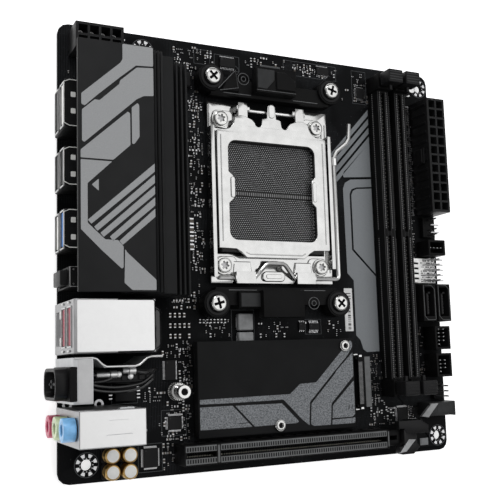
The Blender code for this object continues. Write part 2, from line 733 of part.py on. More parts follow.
def make_audio(shop):
    middle = sum(AUDIO_Y) / 2
    bores = [
        cylinder((MOUTH_X - 1, middle, z), JACK_BORE_R, 15, "X", SMALL_ROUND) for z in JACK_Z
    ]
    shop.part(
        "audio_stack",
        "tin",
        box((MOUTH_X + 0.4, AUDIO_BACK), AUDIO_Y, (GAP, AUDIO_TOP)),
        cut=[together(*bores)],
    )
    length = MOUTH_X + 0.4 - GAP - JACK_FRONT
    for finish, z in zip(("pink", "green", "blue"), JACK_Z):
        barrel = cylinder((JACK_FRONT, middle, z), JACK_R, length, "X")
        bore = cylinder((JACK_FRONT - 1, middle, z), JACK_BORE_R, length + 2, "X", SMALL_ROUND)
        shop.part(f"audio_jack_{finish}", finish, barrel, cut=[bore])


def make_wireless(shop):
    """The bent bracket that holds the antenna socket, and the socket itself."""
    flange = [(-0.8, GAP), (0.2, GAP), (0.2, 27.0), (5.8, 27.0), (5.8, 28.0), (-0.8, 28.0)]
    fence = [(-0.4, 44.0), (6.4, 44.0), (9.7, 40.9), (20.7, 40.9), (25.3, 44.0), (29.9, 44.0)]
    shop.part(
        "wireless_bracket",
        "tin",
        prism(flange, (29.0, 44.2), "Y"),
        add=[prism(strip(fence, BRACKET_FENCE_T), (9.0, 27.8))],
    )
    outer = rounded((30.2, 41.0), (5.6, 25.4), 3.6)
    inner = rounded((31.4, 39.8), (6.8, 24.2), 2.6)
    shop.part(
        "antenna_socket",
        "black_plastic",
        prism(outer, (ANTENNA_FRONT, -1.1), "X"),
        cut=[prism(inner, (ANTENNA_FRONT - 1, -2.1), "X")],
    )


def make_button(shop):
    """The push button among the rear connectors, in its housing. It travels along x."""
    y, z = (BUTTON_Y - 3.6, BUTTON_Y + 3.6), (GAP, 19.0)
    half_y, half_z = BUTTON_HALF, BUTTON_HALF + BUTTON_EXTRA_HEIGHT
    room = box(
        (MOUTH_X, 8.0),
        (BUTTON_Y - half_y - GAP, BUTTON_Y + half_y + GAP),
        (BUTTON_Z - half_z - GAP, BUTTON_Z + half_z + GAP),
    )
    shop.part("rear_button_housing", "black_plastic", box((0.0, 11.0), y, z), cut=[room])
    cap = box(
        (-2.4, 4.5), (BUTTON_Y - half_y, BUTTON_Y + half_y), (BUTTON_Z - half_z, BUTTON_Z + half_z)
    )
    shop.part("rear_button", "black_plastic", cap)


def main():
    clear_scene()
    parts, cutters = new_collection(PARTS), new_collection(CUTTERS)
    cutters.hide_render = True
    origin = bpy.data.objects.new("board_origin", None)
    parts.objects.link(origin)
    origin.location = Vector((-(ANTENNA_FRONT + BOARD) / 2, -BOARD / 2, -UNDERSIDE)) * MM
    shop = Workshop(origin, parts, cutters)
    for make in (
        make_board, make_backplate, make_socket_housing, make_socket_frame, make_frame_screws,
        make_plate_rod, make_load_plate, make_load_lever, make_cooler_brackets, make_cooler_screws,
        make_vrm_heatsink, make_power_stages, make_m2, make_chips, make_memory, make_expansion_slot,
        make_power_headers, make_headers, make_rear_connectors, make_audio, make_wireless, make_button,
    ):
        make(shop)


main()
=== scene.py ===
"""The looks of a small desktop motherboard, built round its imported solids.

Lengths are in board millimetres: x from the rear connector edge, y from the expansion
slot edge and z up from the laminate's top face. One function makes each kind of piece.
"""

import json
import math
import random

import bmesh
import bpy
from mathutils import Matrix, Vector
from mathutils.geometry import tessellate_polygon


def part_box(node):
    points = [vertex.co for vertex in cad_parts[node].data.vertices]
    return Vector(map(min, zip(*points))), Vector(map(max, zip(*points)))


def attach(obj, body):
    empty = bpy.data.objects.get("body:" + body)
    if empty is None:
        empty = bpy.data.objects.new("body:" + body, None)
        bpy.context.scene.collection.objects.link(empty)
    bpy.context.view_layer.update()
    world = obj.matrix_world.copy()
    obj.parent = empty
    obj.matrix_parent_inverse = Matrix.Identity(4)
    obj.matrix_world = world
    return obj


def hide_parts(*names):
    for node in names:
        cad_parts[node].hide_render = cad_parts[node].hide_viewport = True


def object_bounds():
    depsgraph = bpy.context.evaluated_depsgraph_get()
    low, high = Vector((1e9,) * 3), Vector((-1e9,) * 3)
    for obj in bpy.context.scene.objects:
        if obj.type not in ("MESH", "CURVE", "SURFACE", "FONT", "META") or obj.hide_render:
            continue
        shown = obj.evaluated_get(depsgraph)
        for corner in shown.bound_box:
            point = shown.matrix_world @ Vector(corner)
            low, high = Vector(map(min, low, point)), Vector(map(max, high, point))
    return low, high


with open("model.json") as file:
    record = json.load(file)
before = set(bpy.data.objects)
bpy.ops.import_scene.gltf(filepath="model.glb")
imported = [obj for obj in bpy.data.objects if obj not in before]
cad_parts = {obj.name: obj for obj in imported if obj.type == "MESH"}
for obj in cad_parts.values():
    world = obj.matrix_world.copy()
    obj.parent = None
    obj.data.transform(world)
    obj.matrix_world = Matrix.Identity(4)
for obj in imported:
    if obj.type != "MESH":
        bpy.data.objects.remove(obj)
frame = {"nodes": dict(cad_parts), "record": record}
CAD_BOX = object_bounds()

MM = 0.001
RING_H = 0.1  # the tinned rings stand this far out of both faces of the laminate
LAMINATE_T = 1.6
_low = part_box("pcb")[0]
ORIGIN = Vector((_low.x, _low.y, _low.z + (LAMINATE_T + RING_H) * MM))
TO_WORLD = Matrix.Translation(ORIGIN) @ Matrix.Scale(MM, 4)
SEED = 7


# ---------------------------------------------------------------- places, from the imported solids

class Span:
    """The box of a CAD node in board millimetres."""

    def __init__(self, node):
        low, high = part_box(node)
        low, high = (low - ORIGIN) / MM, (high - ORIGIN) / MM
        self.x, self.y, self.z = ((low[i], high[i]) for i in range(3))
        self.middle = (low + high) / 2
        self.top = high.z


def body_of(node):
    """The moving body, or the board, that a CAD node belongs to."""
    for name, nodes in frame["record"]["behaviour"]["bodies"].items():
        if node in nodes:
            return name
    raise ValueError(node)


def about(middle, half):
    return middle - half, middle + half


def within(span, margin):
    return span[0] + margin, span[1] - margin


def beside(middle, side, near, far):
    """From near to far on one side, -1 or 1, of a middle."""
    return sorted((middle + side * near, middle + side * far))


def rectangle(x, y):
    """The four corners of a rectangle, anticlockwise from its lowest."""
    return [(x[0], y[0]), (x[1], y[0]), (x[1], y[1]), (x[0], y[1])]


# ---------------------------------------------------------------- materials

class Nodes:
    """A material's node tree, with short calls for the nodes used here."""

    def __init__(self, name):
        self.material = bpy.data.materials.new(name)
        self.material.use_nodes = True
        self.tree = self.material.node_tree
        self.shader = self.tree.nodes["Principled BSDF"]
        place = self.new("TexCoord").outputs["Object"]
        self.place = self.new("VectorMath", {0: place, "Scale": 1 / MM}, operation="SCALE").outputs[0]

    def new(self, kind, inputs=None, **settings):
        """A node whose inputs are linked to an output or set to a value."""
        node = self.tree.nodes.new("ShaderNode" + kind)
        for key, value in settings.items():
            setattr(node, key, value)
        for key, value in (inputs or {}).items():
            if isinstance(value, bpy.types.NodeSocket):
                self.tree.links.new(value, node.inputs[key])
            else:
                node.inputs[key].default_value = value
        return node

    def noise(self, scale, detail=3.0, stretch=None):
        place = self.place
        if stretch:
            place = self.new("Mapping", {"Scale": stretch, "Vector": place}).outputs["Vector"]
        return self.new("TexNoise", {"Scale": scale, "Detail": detail, "Roughness": 0.55,
                                     "Vector": place}).outputs["Fac"]

    def ramp(self, value, low, high, a=(0, 0, 0, 1), b=(1, 1, 1, 1)):
        node = self.new("ValToRGB", {"Fac": value})
        for element, position, colour in zip(node.color_ramp.elements, (low, high), (a, b)):
            element.position, element.color = position, colour
        return node.outputs["Color"]

    def math(self, operation, a, b):
        return self.new("Math", {0: a, 1: b}, operation=operation).outputs[0]

    def span(self, value, low, high):
        """Stretches a 0 to 1 value to low to high."""
        return self.new("MapRange", {"Value": value, "To Min": low, "To Max": high}).outputs["Result"]

    def finish(self, colour, roughness, height, depth, strength=1.0, **values):
        """Feeds the shader its colour, roughness and bump, and its constant values."""
        bump = self.new("Bump", {"Distance": depth * MM, "Strength": strength, "Height": height})
        for name, output in (("Base Color", colour), ("Roughness", roughness),
                             ("Normal", bump.outputs["Normal"])):
            self.tree.links.new(output, self.shader.inputs[name])
        return self.set(**values)

    def set(self, **values):
        for name, value in values.items():
            self.shader.inputs[name.replace("_", " ")].default_value = value
        return self.material


def tint(colour, share):
    """A colour made darker or paler, with its alpha."""
    return (*(c * share for c in colour), 1)


def moulded(name, colour, rough=(0.38, 0.52), grain=7.0, depth=0.012, spec=0.3, wear=0.35):
    """Moulded plastic: a fine spark-eroded grain, and a slow drift in tone."""
    n = Nodes(name)
    fine, slow = n.noise(grain, 4), n.noise(0.35, 2)
    tone = n.ramp(slow, 0.3, 0.7, tint(colour, 1 - wear / 2), tint(colour, 1 + wear / 2))
    roughness = n.span(n.math("MULTIPLY", fine, slow), rough[0], rough[1] + 0.2)
    return n.finish(tone, roughness, fine, depth, Specular_IOR_Level=spec)


def metal(name, colour, rough=(0.18, 0.34), stretch=None, grain=3.0, depth=0.006, wear=0.16):
    """Plated or tinned metal with rolling marks and cloudy patches."""
    n = Nodes(name)
    fine, slow = n.noise(grain, 5, stretch), n.noise(0.22, 3)
    tone = n.ramp(slow, 0.32, 0.72, tint(colour, 1 - wear), tint(colour, 1))
    roughness = n.span(n.math("MULTIPLY", fine, slow), rough[0], rough[1] + 0.2)
    return n.finish(tone, roughness, fine, depth, Metallic=1.0)


def laminate(name, colour):
    """Near-black solder mask: fine tracks and vias stand up a little and are a little paler."""
    n = Nodes(name)
    turned = n.new("Mapping", {"Rotation": (0, 0, math.radians(90)), "Vector": n.place})
    tracks = n.new("TexBrick", {
        "Scale": 1.0, "Mortar Size": 0.09, "Mortar Smooth": 0.3, "Brick Width": 9.0, "Row Height": 0.62,
        "Vector": turned.outputs["Vector"],
    }, offset=0.37, squash=0.6, squash_frequency=3)
    vias = n.new("TexVoronoi", {"Scale": 0.34, "Vector": n.place}, feature="F1")
    dots = n.ramp(vias.outputs["Distance"], 0.07, 0.10, (1, 1, 1, 1), (0, 0, 0, 1))
    regions = n.ramp(n.noise(0.055, 1.0), 0.50, 0.56)
    height = n.math("ADD", n.math("MULTIPLY", tracks.outputs["Fac"], regions), dots)
    tone = n.ramp(height, 0.0, 1.0, tint(colour, 1.0), tint(colour, 5.0))
    return n.finish(tone, n.span(n.noise(2.0, 3), 0.48, 0.66), height, 0.02, 0.6, Specular_IOR_Level=0.05)


def printed(name, colour, speckle=0.0, grain=5.0):
    """Screen-printed ink, with an optional glittery speckle."""
    n = Nodes(name)
    fine = n.noise(grain, 4)
    low, high = 1 - 0.12 - speckle, 1 + 0.10 + speckle
    tone = n.ramp(fine, 0.35, 0.65, tint(colour, low), tint(colour, high))
    return n.finish(tone, n.span(fine, 0.5, 0.75), fine, 0.01, Specular_IOR_Level=0.3)


def anodised(name, colour, spec=0.14):
    """Blasted and anodised aluminium."""
    n = Nodes(name)
    fine, slow = n.noise(9.0, 3), n.noise(0.12, 2)
    tone = n.ramp(slow, 0.3, 0.7, tint(colour, 0.9), tint(colour, 1.1))
    return n.finish(tone, n.span(fine, 0.5, 0.7), fine, 0.015, 0.6, Specular_IOR_Level=spec)


def of(slot, maker, *values, **settings):
    return slot, maker, values, settings


# Each look: its slot, then what makes its material.
LOOKS = {
    "board": of("board", laminate, (0.0045, 0.0048, 0.0053)),
    "board_print": of("light_print", printed, (0.18, 0.192, 0.203)),
    "faint_print": of("light_print", printed, (0.075, 0.08, 0.085)),
    "paper": of("light_print", printed, (0.66, 0.66, 0.66)),
    "print": of("light_print", printed, (0.30, 0.306, 0.313)),
    "glitter": of("light_print", printed, (0.150, 0.158, 0.168), speckle=0.42, grain=1.9),
    "heatsink": of("heatsink_coating", anodised, (0.0125, 0.0128, 0.0134)),
    "heatsink_dark": of("heatsink_coating", anodised, (0.0072, 0.0074, 0.0078), 0.09),
    "fin": of("heatsink_coating", anodised, (0.012, 0.0122, 0.0128), 0.1),
    # A paler copy of the tin, laid on the tops of the stack shells and on the bracket's rim: painted
    # highlight.
    "bright_tin": of("tin_shell", metal, (0.62, 0.62, 0.62), (0.30, 0.38), grain=1.5, depth=0.001, wear=0.05),
    "bracket_tin": of("tin_shell", metal, (0.46, 0.46, 0.465), (0.40, 0.52), grain=4.0, depth=0.004),
    "grey_metal": of("tin_shell", metal, (0.55, 0.56, 0.57), (0.42, 0.56), grain=5.0),
    "tin": of("tin_shell", metal, (0.56, 0.56, 0.56), (0.26, 0.34), (0.25, 3, 3), depth=0.003, wear=0.06),
    # A darker copy of the tin, for the sides of the stack shells and the floors of the socket screws'
    # recesses: painted shade.
    "zinc": of("tin_shell", metal, (0.40, 0.40, 0.405), (0.36, 0.50), grain=6.0, depth=0.006),
    "nickel": of(
        "socket_steel", metal, (0.51, 0.51, 0.505), (0.11, -0.02), grain=1.2, depth=0.0004, wear=0.14),
    "wire": of(
        "socket_steel", metal, (0.72, 0.72, 0.715), (0.24, 0.32), grain=1.2, depth=0.0004, wear=0.08),
    "screw": of("screw_steel", metal, (0.56, 0.56, 0.55), (0.10, 0.16), grain=2.0, depth=0.0015),
    "solder": of("solder", metal, (0.56, 0.56, 0.57), (0.24, 0.40), grain=8.0, depth=0.02),
    "gold": of("gold_contact", metal, (0.46, 0.30, 0.11), (0.24, 0.38), grain=6.0),
    "bronze_dark": of("contact_field", metal, (0.30, 0.29, 0.25), (0.30, 0.46), grain=6.0),
    "land_grey": of("contact_field", metal, (0.43, 0.435, 0.445), (0.36, 0.5), grain=6.0),
    # A darker copy of the socket housing's plastic, laid among the contact springs: painted shade.
    "pin_dark": of("contact_field", moulded, (0.006, 0.006, 0.006), (0.5, 0.6)),
    "pin_field": of("contact_field", moulded, (0.018, 0.018, 0.0185), (0.4, 0.55)),
    "coated": of("backplate_steel", moulded, (0.016, 0.016, 0.017), (0.40, 0.55), grain=5.0, spec=0.35),
    "pad": of("thermal_pad", moulded, (0.30, 0.33, 0.36), (0.7, 0.85), grain=3.0),
    "black": of("black_plastic", moulded, (0.0048, 0.0048, 0.005), spec=0.07),
    "satin_black": of("black_plastic", moulded, (0.0085, 0.0085, 0.009), (0.30, 0.45), spec=0.13),
    "gloss_black": of("black_plastic", moulded, (0.006, 0.006, 0.0065), (0.12, 0.22), 2.0, 0.004, 0.5),
    "edge_dark": of("black_plastic", moulded, (0.036, 0.037, 0.038), (0.4, 0.55), spec=0.15),
    # Near-black for painted shade: laid in screw recesses, bores, slot openings and the gaps of the comb.
    "hollow": of("black_plastic", moulded, (0.004, 0.004, 0.0045), (0.6, 0.8), spec=0.1),
    "dark_grey": of("grey_plastic", moulded, (0.024, 0.025, 0.026), spec=0.15),
    "edge_grey": of("grey_plastic", moulded, (0.17, 0.175, 0.18), (0.45, 0.6)),
    "rail_grey": of("grey_plastic", moulded, (0.105, 0.108, 0.11), (0.4, 0.55)),
    "rail_tick": of("grey_plastic", moulded, (0.20, 0.20, 0.202), (0.4, 0.55)),
    "pale_plastic": of("grey_plastic", moulded, (0.27, 0.275, 0.28), (0.3, 0.45), spec=0.4),
    "ferrite": of("grey_plastic", moulded, (0.24, 0.245, 0.25), (0.45, 0.65), depth=0.03),
    "ferrite_dark": of("grey_plastic", moulded, (0.05, 0.052, 0.054), (0.45, 0.65), 2.0, 0.03),
    "pearl": of("white_plastic", moulded, (0.78, 0.78, 0.76), (0.3, 0.45), spec=0.4, wear=0.15),
    "white": of("white_plastic", moulded, (0.93, 0.93, 0.92), (0.36, 0.5)),
    "red": of("red_plastic", moulded, (0.30, 0.016, 0.04)),
    "blue": of("blue_plastic", moulded, (0.016, 0.15, 0.46)),
    "light_blue": of("blue_plastic", moulded, (0.20, 0.47, 0.80), (0.24, 0.36), spec=0.5),
    "pink": of("pink_plastic", moulded, (0.58, 0.075, 0.15), (0.24, 0.36), spec=0.5),
    "green": of("green_plastic", moulded, (0.60, 0.70, 0.44), (0.24, 0.36), spec=0.5),
    "chip": of("chip", moulded, (0.0085, 0.0085, 0.009), (0.45, 0.6), grain=9.0, spec=0.12),
    "resistor": of("chip", moulded, (0.010, 0.010, 0.011), (0.25, 0.4)),
    "ceramic": of("chip", moulded, (0.085, 0.072, 0.06), (0.4, 0.6)),
}
MATERIALS = {look: maker(look, *values, **settings) for look, (_, maker, values, settings) in LOOKS.items()}


# ---------------------------------------------------------------- shapes

def finish_object(name, mesh, look, body, replaced=(), smooth=None):
    """Links a mesh of board millimetres as a piece that rides on a body."""
    mesh.transform(TO_WORLD)
    obj = bpy.data.objects.new(name, mesh)
    bpy.context.scene.collection.objects.link(obj)
    mesh.materials.append(MATERIALS[look])
    if smooth is not None:
        mesh.shade_smooth()
        mesh.set_sharp_from_angle(angle=math.radians(smooth))
    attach(obj, body)
    if replaced:
        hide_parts(*replaced)


def along(axis, u, v, height):
    """A turned point, its height along the axis."""
    return {"Z": (u, v, height), "X": (height, u, v), "Y": (v, height, u)}[axis]


class Shape:
    """Collects chamfered boxes, round bars, outlines and tubes, then becomes one piece."""

    def __init__(self):
        self.verts, self.faces = [], []

    def add(self, verts, faces):
        start = len(self.verts)
        self.verts += [tuple(v) for v in verts]
        self.faces += [tuple(start + i for i in face) for face in faces]
        return self

    def skin(self, rows, closed=False):
        """Joins rows of points into a skin, its ends capped or, if closed, joined to each other."""
        n, last = len(rows[0]), len(rows) - 1
        faces = []
        for r in range(last + closed):
            s = (r + 1) % len(rows)
            for k in range(n):
                m = (k + 1) % n
                faces.append((r * n + k, r * n + m, s * n + m, s * n + k))
        if not closed:
            faces += [tuple(reversed(range(n))), tuple(last * n + k for k in range(n))]
        return self.add([point for row in rows for point in row], faces)

    def box(self, x, y, z, edge=0.12):
        """A box with chamfered edges: three corners' points at each of its eight corners."""
        edge = min(edge, *(abs(s[1] - s[0]) * 0.3 for s in (x, y, z)))
        spans, verts, index = (x, y, z), [], {}
        for i in range(8):
            ends = [(i >> a) & 1 for a in range(3)]
            for flat in range(3):
                index[i, flat] = len(verts)
                verts.append([
                    spans[a][ends[a]] + (0 if a == flat else (edge, -edge)[ends[a]]) for a in range(3)
                ])
        faces = [[index[i, f] for f in range(3)][:: 1 if bin(i).count("1") % 2 else -1] for i in range(8)]
        for a in range(3):
            b, c = (a + 1) % 3, (a + 2) % 3
            for end in (0, 1):
                ring = [(0, 0), (1, 0), (1, 1), (0, 1)][:: 1 if end else -1]
                faces.append([index[(end << a) | (p << b) | (q << c), a] for p, q in ring])
            for p, q in ((0, 0), (0, 1), (1, 0), (1, 1)):
                one = (p << b) | (q << c)
                two = one | (1 << a)
                quad = [index[one, b], index[two, b], index[two, c], index[one, c]]
                faces.append(quad[:: -1 if p == q else 1])
        return self.add(verts, faces)

    def boxes(self, *rows):
        for row in rows:
            self.box(*row)
        return self

    def turned(self, centre, profile, axis="Z", sides=32, closed=False):
        """A turned solid from its (radius, height) profile along an axis through centre."""
        rows = []
        for radius, height in profile:
            angles = [2 * math.pi * k / sides for k in range(sides)]
            points = (along(axis, radius * math.cos(a), radius * math.sin(a), height) for a in angles)
            rows.append([[c + t for c, t in zip(centre, point)] for point in points])
        return self.skin(rows, closed)

    def ring(self, centre, inner, outer, z, axis="Z", sides=40, edge=0.08):
        """A flat washer or a short tube."""
        profile = [(inner, z[0]), (outer, z[0]), (outer, z[1] - edge), (outer - edge, z[1]),
                   (inner + edge, z[1]), (inner, z[1] - edge)]
        return self.turned(centre, profile, axis, sides, True)

    def slab(self, points, z, edge=0.0):
        """An outline from z[0] to z[1]; its upper edge is chamfered."""
        outline = anticlockwise(list(points))
        rows = [(outline, z[0]), (outline, z[1] - edge)]
        if edge:
            rows.append((inset(outline, edge), z[1]))
        return self.skin([[(x, y, height) for x, y in row] for row, height in rows])

    def tube(self, points, radius, sides=12):
        """A round wire through points, with flat ends."""
        path = [Vector(p) for p in points]
        rows, normal = [], None
        for i, point in enumerate(path):
            ahead = (path[min(i + 1, len(path) - 1)] - path[max(i - 1, 0)]).normalized()
            if normal is None:
                normal = ahead.orthogonal().normalized()
            normal = (normal - ahead * normal.dot(ahead)).normalized()
            side = ahead.cross(normal)
            angles = [2 * math.pi * k / sides for k in range(sides)]
            rows.append([point + radius * (math.cos(a) * normal + math.sin(a) * side) for a in angles])
        return self.skin(rows)

    def piece(self, name, look, body="board", replaced=(), smooth=None):
        mesh = bpy.data.meshes.new(name)
        mesh.from_pydata(self.verts, [], self.faces)
        mesh.validate()
        finish_object(name, mesh, look, body, replaced, smooth)


def anticlockwise(outline):
    area = sum(a[0] * b[1] - b[0] * a[1] for a, b in zip(outline, outline[1:] + outline[:1]))
    return outline if area > 0 else outline[::-1]


def inset(outline, distance):
    """An anticlockwise outline moved inward by a distance."""
    moved = []
    for i, here in enumerate(outline):
        before = Vector(here) - Vector(outline[i - 1])
        after = Vector(outline[(i + 1) % len(outline)]) - Vector(here)
        a = Vector((-before.y, before.x)).normalized()
        b = Vector((-after.y, after.x)).normalized()
        both = (a + b).normalized()
        moved.append(Vector(here) + both * distance / max(0.3, both.dot(a)))
    return [tuple(p) for p in moved]


def arc(centre, radius, start, end, steps):
    """Points round a centre, between two angles in degrees."""
    angles = (math.radians(start + (end - start) * i / steps) for i in range(steps + 1))
    return [(centre[0] + radius * math.cos(a), centre[1] + radius * math.sin(a)) for a in angles]


def rounded(x, y, radius, steps=5):
    """A rectangle with rounded corners."""
    corners = ((x[1] - radius, y[1] - radius, 0), (x[0] + radius, y[1] - radius, 90),
               (x[0] + radius, y[0] + radius, 180), (x[1] - radius, y[0] + radius, 270))
    return [p for cx, cy, a in corners for p in arc((cx, cy), radius, a, a + 90, steps)]


def round_edges(shape, edge, steps=2, least=25.0):
    """Merges flat faces, faces them outward and rounds every edge sharper than the least angle."""
    bmesh.ops.dissolve_limit(
        shape, angle_limit=math.radians(0.6), verts=shape.verts, edges=shape.edges, delimit=set()
    )
    bmesh.ops.recalc_face_normals(shape, faces=shape.faces)
    if edge:
        sharp = [e for e in shape.edges if e.is_manifold and e.calc_face_angle(0) > math.radians(least)]
        bmesh.ops.bevel(
            shape, geom=sharp, offset=edge, offset_type="OFFSET", segments=steps, profile=0.5,
            affect="EDGES", clamp_overlap=True,
        )
    shape.verts.index_update()


# ---------------------------------------------------------------- CAD nodes with finer edges

# Look, radius of the rounded edges in millimetres, and nodes.
NODE_LOOKS = (
    ("board", 0.0, "pcb"),
    ("coated", 0.3, "cpu_backplate"),
    ("pin_field", 0.2, "socket_housing"),
    ("nickel", 0.2, "socket_frame"),
    ("wire", 0.2, "load_plate_rod"),
    ("wire", 0.0, "load_lever"),
    ("black", 0.35, "cooler_bracket_top cooler_bracket_bottom"),
    ("heatsink", 0.15, "vrm_heatsink"),
    ("pad", 0.2, "vrm_thermal_pad"),
    ("chip", 0.1, "vrm_power_stages"),
    ("heatsink_dark", 0.3, "m2_heatsink"),
    ("black", 0.12, "m2_connector"),
    ("chip", 0.1, "chipset"),
    ("pad", 0.15, "chipset_thermal_pad"),
    ("chip", 0.2, "wireless_module"),
    ("chip", 0.1, "bios_chip"),
    ("black", 0.12, "expansion_slot"),
    ("satin_black", 0.25, "expansion_slot_latch"),
    ("black", 0.12, "fan_header front_usb_header_1 front_usb_header_2"),
    ("white", 0.15, "front_panel_header"),
    ("black", 0.15, "lighting_header audio_front_header sata_connector_1 sata_connector_2"),
    ("dark_grey", 0.2, "front_usb3_connector"),
    ("satin_black", 0.12, "main_power_header cpu_power_header"),
    ("black", 0.2, "display_connector usb_stack_lower_speed usb_stack_high_speed"),
    # These two shells take the darker tin copy, painted shade on their sides; paler tin tops, painted
    # highlight, are laid over them.
    ("zinc", 0.25, "network_usb_stack"),
    ("zinc", 0.3, "audio_stack"),
    ("grey_metal", 0.12, "wireless_bracket"),
    ("satin_black", 0.3, "antenna_socket"),
    ("black", 0.15, "rear_button_housing"),
    ("satin_black", 0.3, "rear_button"),
    ("pink", 0.3, "audio_jack_pink"),
    ("green", 0.3, "audio_jack_green"),
    ("light_blue", 0.3, "audio_jack_blue"),
    ("black", 0.12, "memory_slot_1"),
    ("satin_black", 0.25, "memory_latch_1_top memory_latch_1_bottom"),
    ("black", 0.12, "memory_slot_2"),
    ("satin_black", 0.25, "memory_latch_2_top memory_latch_2_bottom"),
)
SHARP_ANGLE = 32  # degrees; edges of refined nodes that turn more than this stay sharp


def refine_nodes():
    """Each CAD node gets a stand-in of its own shape, its triangles merged and its edges rounded."""
    for look, edge, nodes in NODE_LOOKS:
        for node in nodes.split():
            shape = bmesh.new()
            shape.from_mesh(frame["nodes"][node].data)
            bmesh.ops.remove_doubles(shape, verts=shape.verts, dist=0.002 * MM)
            round_edges(shape, edge * MM)
            name = node + "_finish"
            mesh = bpy.data.meshes.new(name)
            shape.to_mesh(mesh)
            shape.free()
            mesh.transform(TO_WORLD.inverted())
            finish_object(name, mesh, look, body_of(node), (node,), SHARP_ANGLE)


# ---------------------------------------------------------------- the laminate's prints and small parts

CORNER_HOLES = ((10.16, 6.35), (165.1, 6.35), (165.1, 163.83), (33.02, 163.83))
INK = (0, 0.05)  # heights of screen print
PANEL_END = 136.9  # where the printed panels stop, beside the first memory slot


def make_hole_rings():
    """Eight tinned petals and twelve vias round each hole on both faces, and a printed circle on top."""
    for number, centre in enumerate(CORNER_HOLES, 1):
        petals = Shape()
        for face in ((RING_H, RING_H + 0.08), (-LAMINATE_T - RING_H - 0.08, -LAMINATE_T - RING_H)):
            for mid in (45 * k + 22.5 for k in range(8)):
                outer, inner = arc(centre, 3.9, mid - 12, mid + 12, 4), arc(centre, 2.7, mid + 9, mid - 9, 3)
                petals.slab(outer + inner, face)
            for k in range(12):
                petals.slab(arc(arc(centre, 2.32, 30 * k, 30 * k + 1, 1)[0], 0.17, 0, 315, 7), face)
        petals.piece(f"hole_ring_{number}", "solder")
        circle = Shape().ring((*centre, 0), 4.25, 4.45, (RING_H, RING_H + INK[1]), edge=0.01)
        circle.piece(f"hole_circle_{number}", "faint_print")


def make_board_prints():
    """Grey panels and stripes, a label with bars, part outlines and arcs."""
    end = PANEL_END
    panel = Shape()
    for outline in (
        [(126.2, 118.2), (end, 119.1), (end, 115.6), (129.2, 114.9), (126.6, 113.9), (125.5, 111.8),
         (125.5, 87.2), (end, 75.9), (end, 43.6), (130.6, 43.4), (128.9, 44.6), (127.6, 48.6),
         (125.6, 50.6), (125.6, 74.0), (122.6, 77.2), (122.3, 114.0), (123.4, 116.6)],
        [(126.4, 111.4), (127.3, 113.3), (129.2, 114.2), (end, 114.9), (end, 77.1), (126.4, 87.6)],
        [(122.9, 119.0), (end, 120.1), (end, 135.6), (123.3, 121.6), (122.5, 120.2)],
    ):
        panel.slab(outline, INK)
    panel.piece("board_panels", "board_print")
    stripes = Shape()
    slope = 1.08
    for k in range(4):
        left, y = 117.2 + 0.75 * k, 144.6 - 4.1 * k + slope * (end - 133.8)
        lower = y - slope * (end - left)
        stripes.slab([(left, lower), (end, y), (end, y + 2.7), (left - 1.1, lower + 1.5)], INK)
    stripes.piece("board_stripes", "board_print")
    label = Shape().slab(rounded((120.4, 124.4), (52.4, 70.6), 0.3, 3), (0, 0.1), 0.02)
    label.piece("paper_label", "paper")
    bars = Shape()
    chance = random.Random(SEED)
    y = 53.2
    while y < 64.5:
        width = chance.choice((0.18, 0.3, 0.5))
        bars.box((121.9, 123.3), (y, y + width), (0.1, 0.12), 0.005)
        y += width + chance.choice((0.2, 0.32, 0.48))
    for y in (66.0, 67.1, 68.2):
        bars.box((121.2, 123.6), (y, y + 0.35), (0.1, 0.12), 0.005)
    bars.piece("label_bars", "satin_black")
    frames = Shape()
    for x, y in (
        ((54.5, 61.5), (161.4, 167.6)), ((63.4, 74.6), (160.2, 166.6)), ((95.2, 121.2), (161.9, 168.4)),
        ((129.2, 136.6), (152.9, 168.0)), ((101.0, 108.6), (51.4, 57.6)), ((67.9, 77.9), (48.9, 61.6)),
        ((19.4, 29.4), (27.2, 35.2)), ((29.2, 38.6), (1.9, 12.2)), ((38.4, 48.3), (14.4, 24.0)),
    ):
        frame_lines(frames, x, y)
    frames.piece("part_outlines", "faint_print")
    arcs = Shape()
    for centre, radius, start, stop in (((85.7, 44.5), 4.6, 200, 340), ((39.0, 157.6), 3.4, 0, 360),
                                        ((72.3, 160.6), 2.1, 0, 360)):
        inner = arc(centre, radius - 0.16, stop, start, 24)
        arcs.slab(arc(centre, radius, start, stop - 0.5, 24) + inner, INK)
    arcs.piece("printed_arcs", "faint_print")


def frame_lines(shape, x, y, width=0.14):
    """Four printed lines round a rectangle."""
    for span in ((y[0], y[0] + width), (y[1] - width, y[1])):
        shape.slab(rectangle(x, span), INK)
    for span in ((x[0], x[0] + width), (x[1] - width, x[1])):
        shape.slab(rectangle(span, within(y, width)), INK)


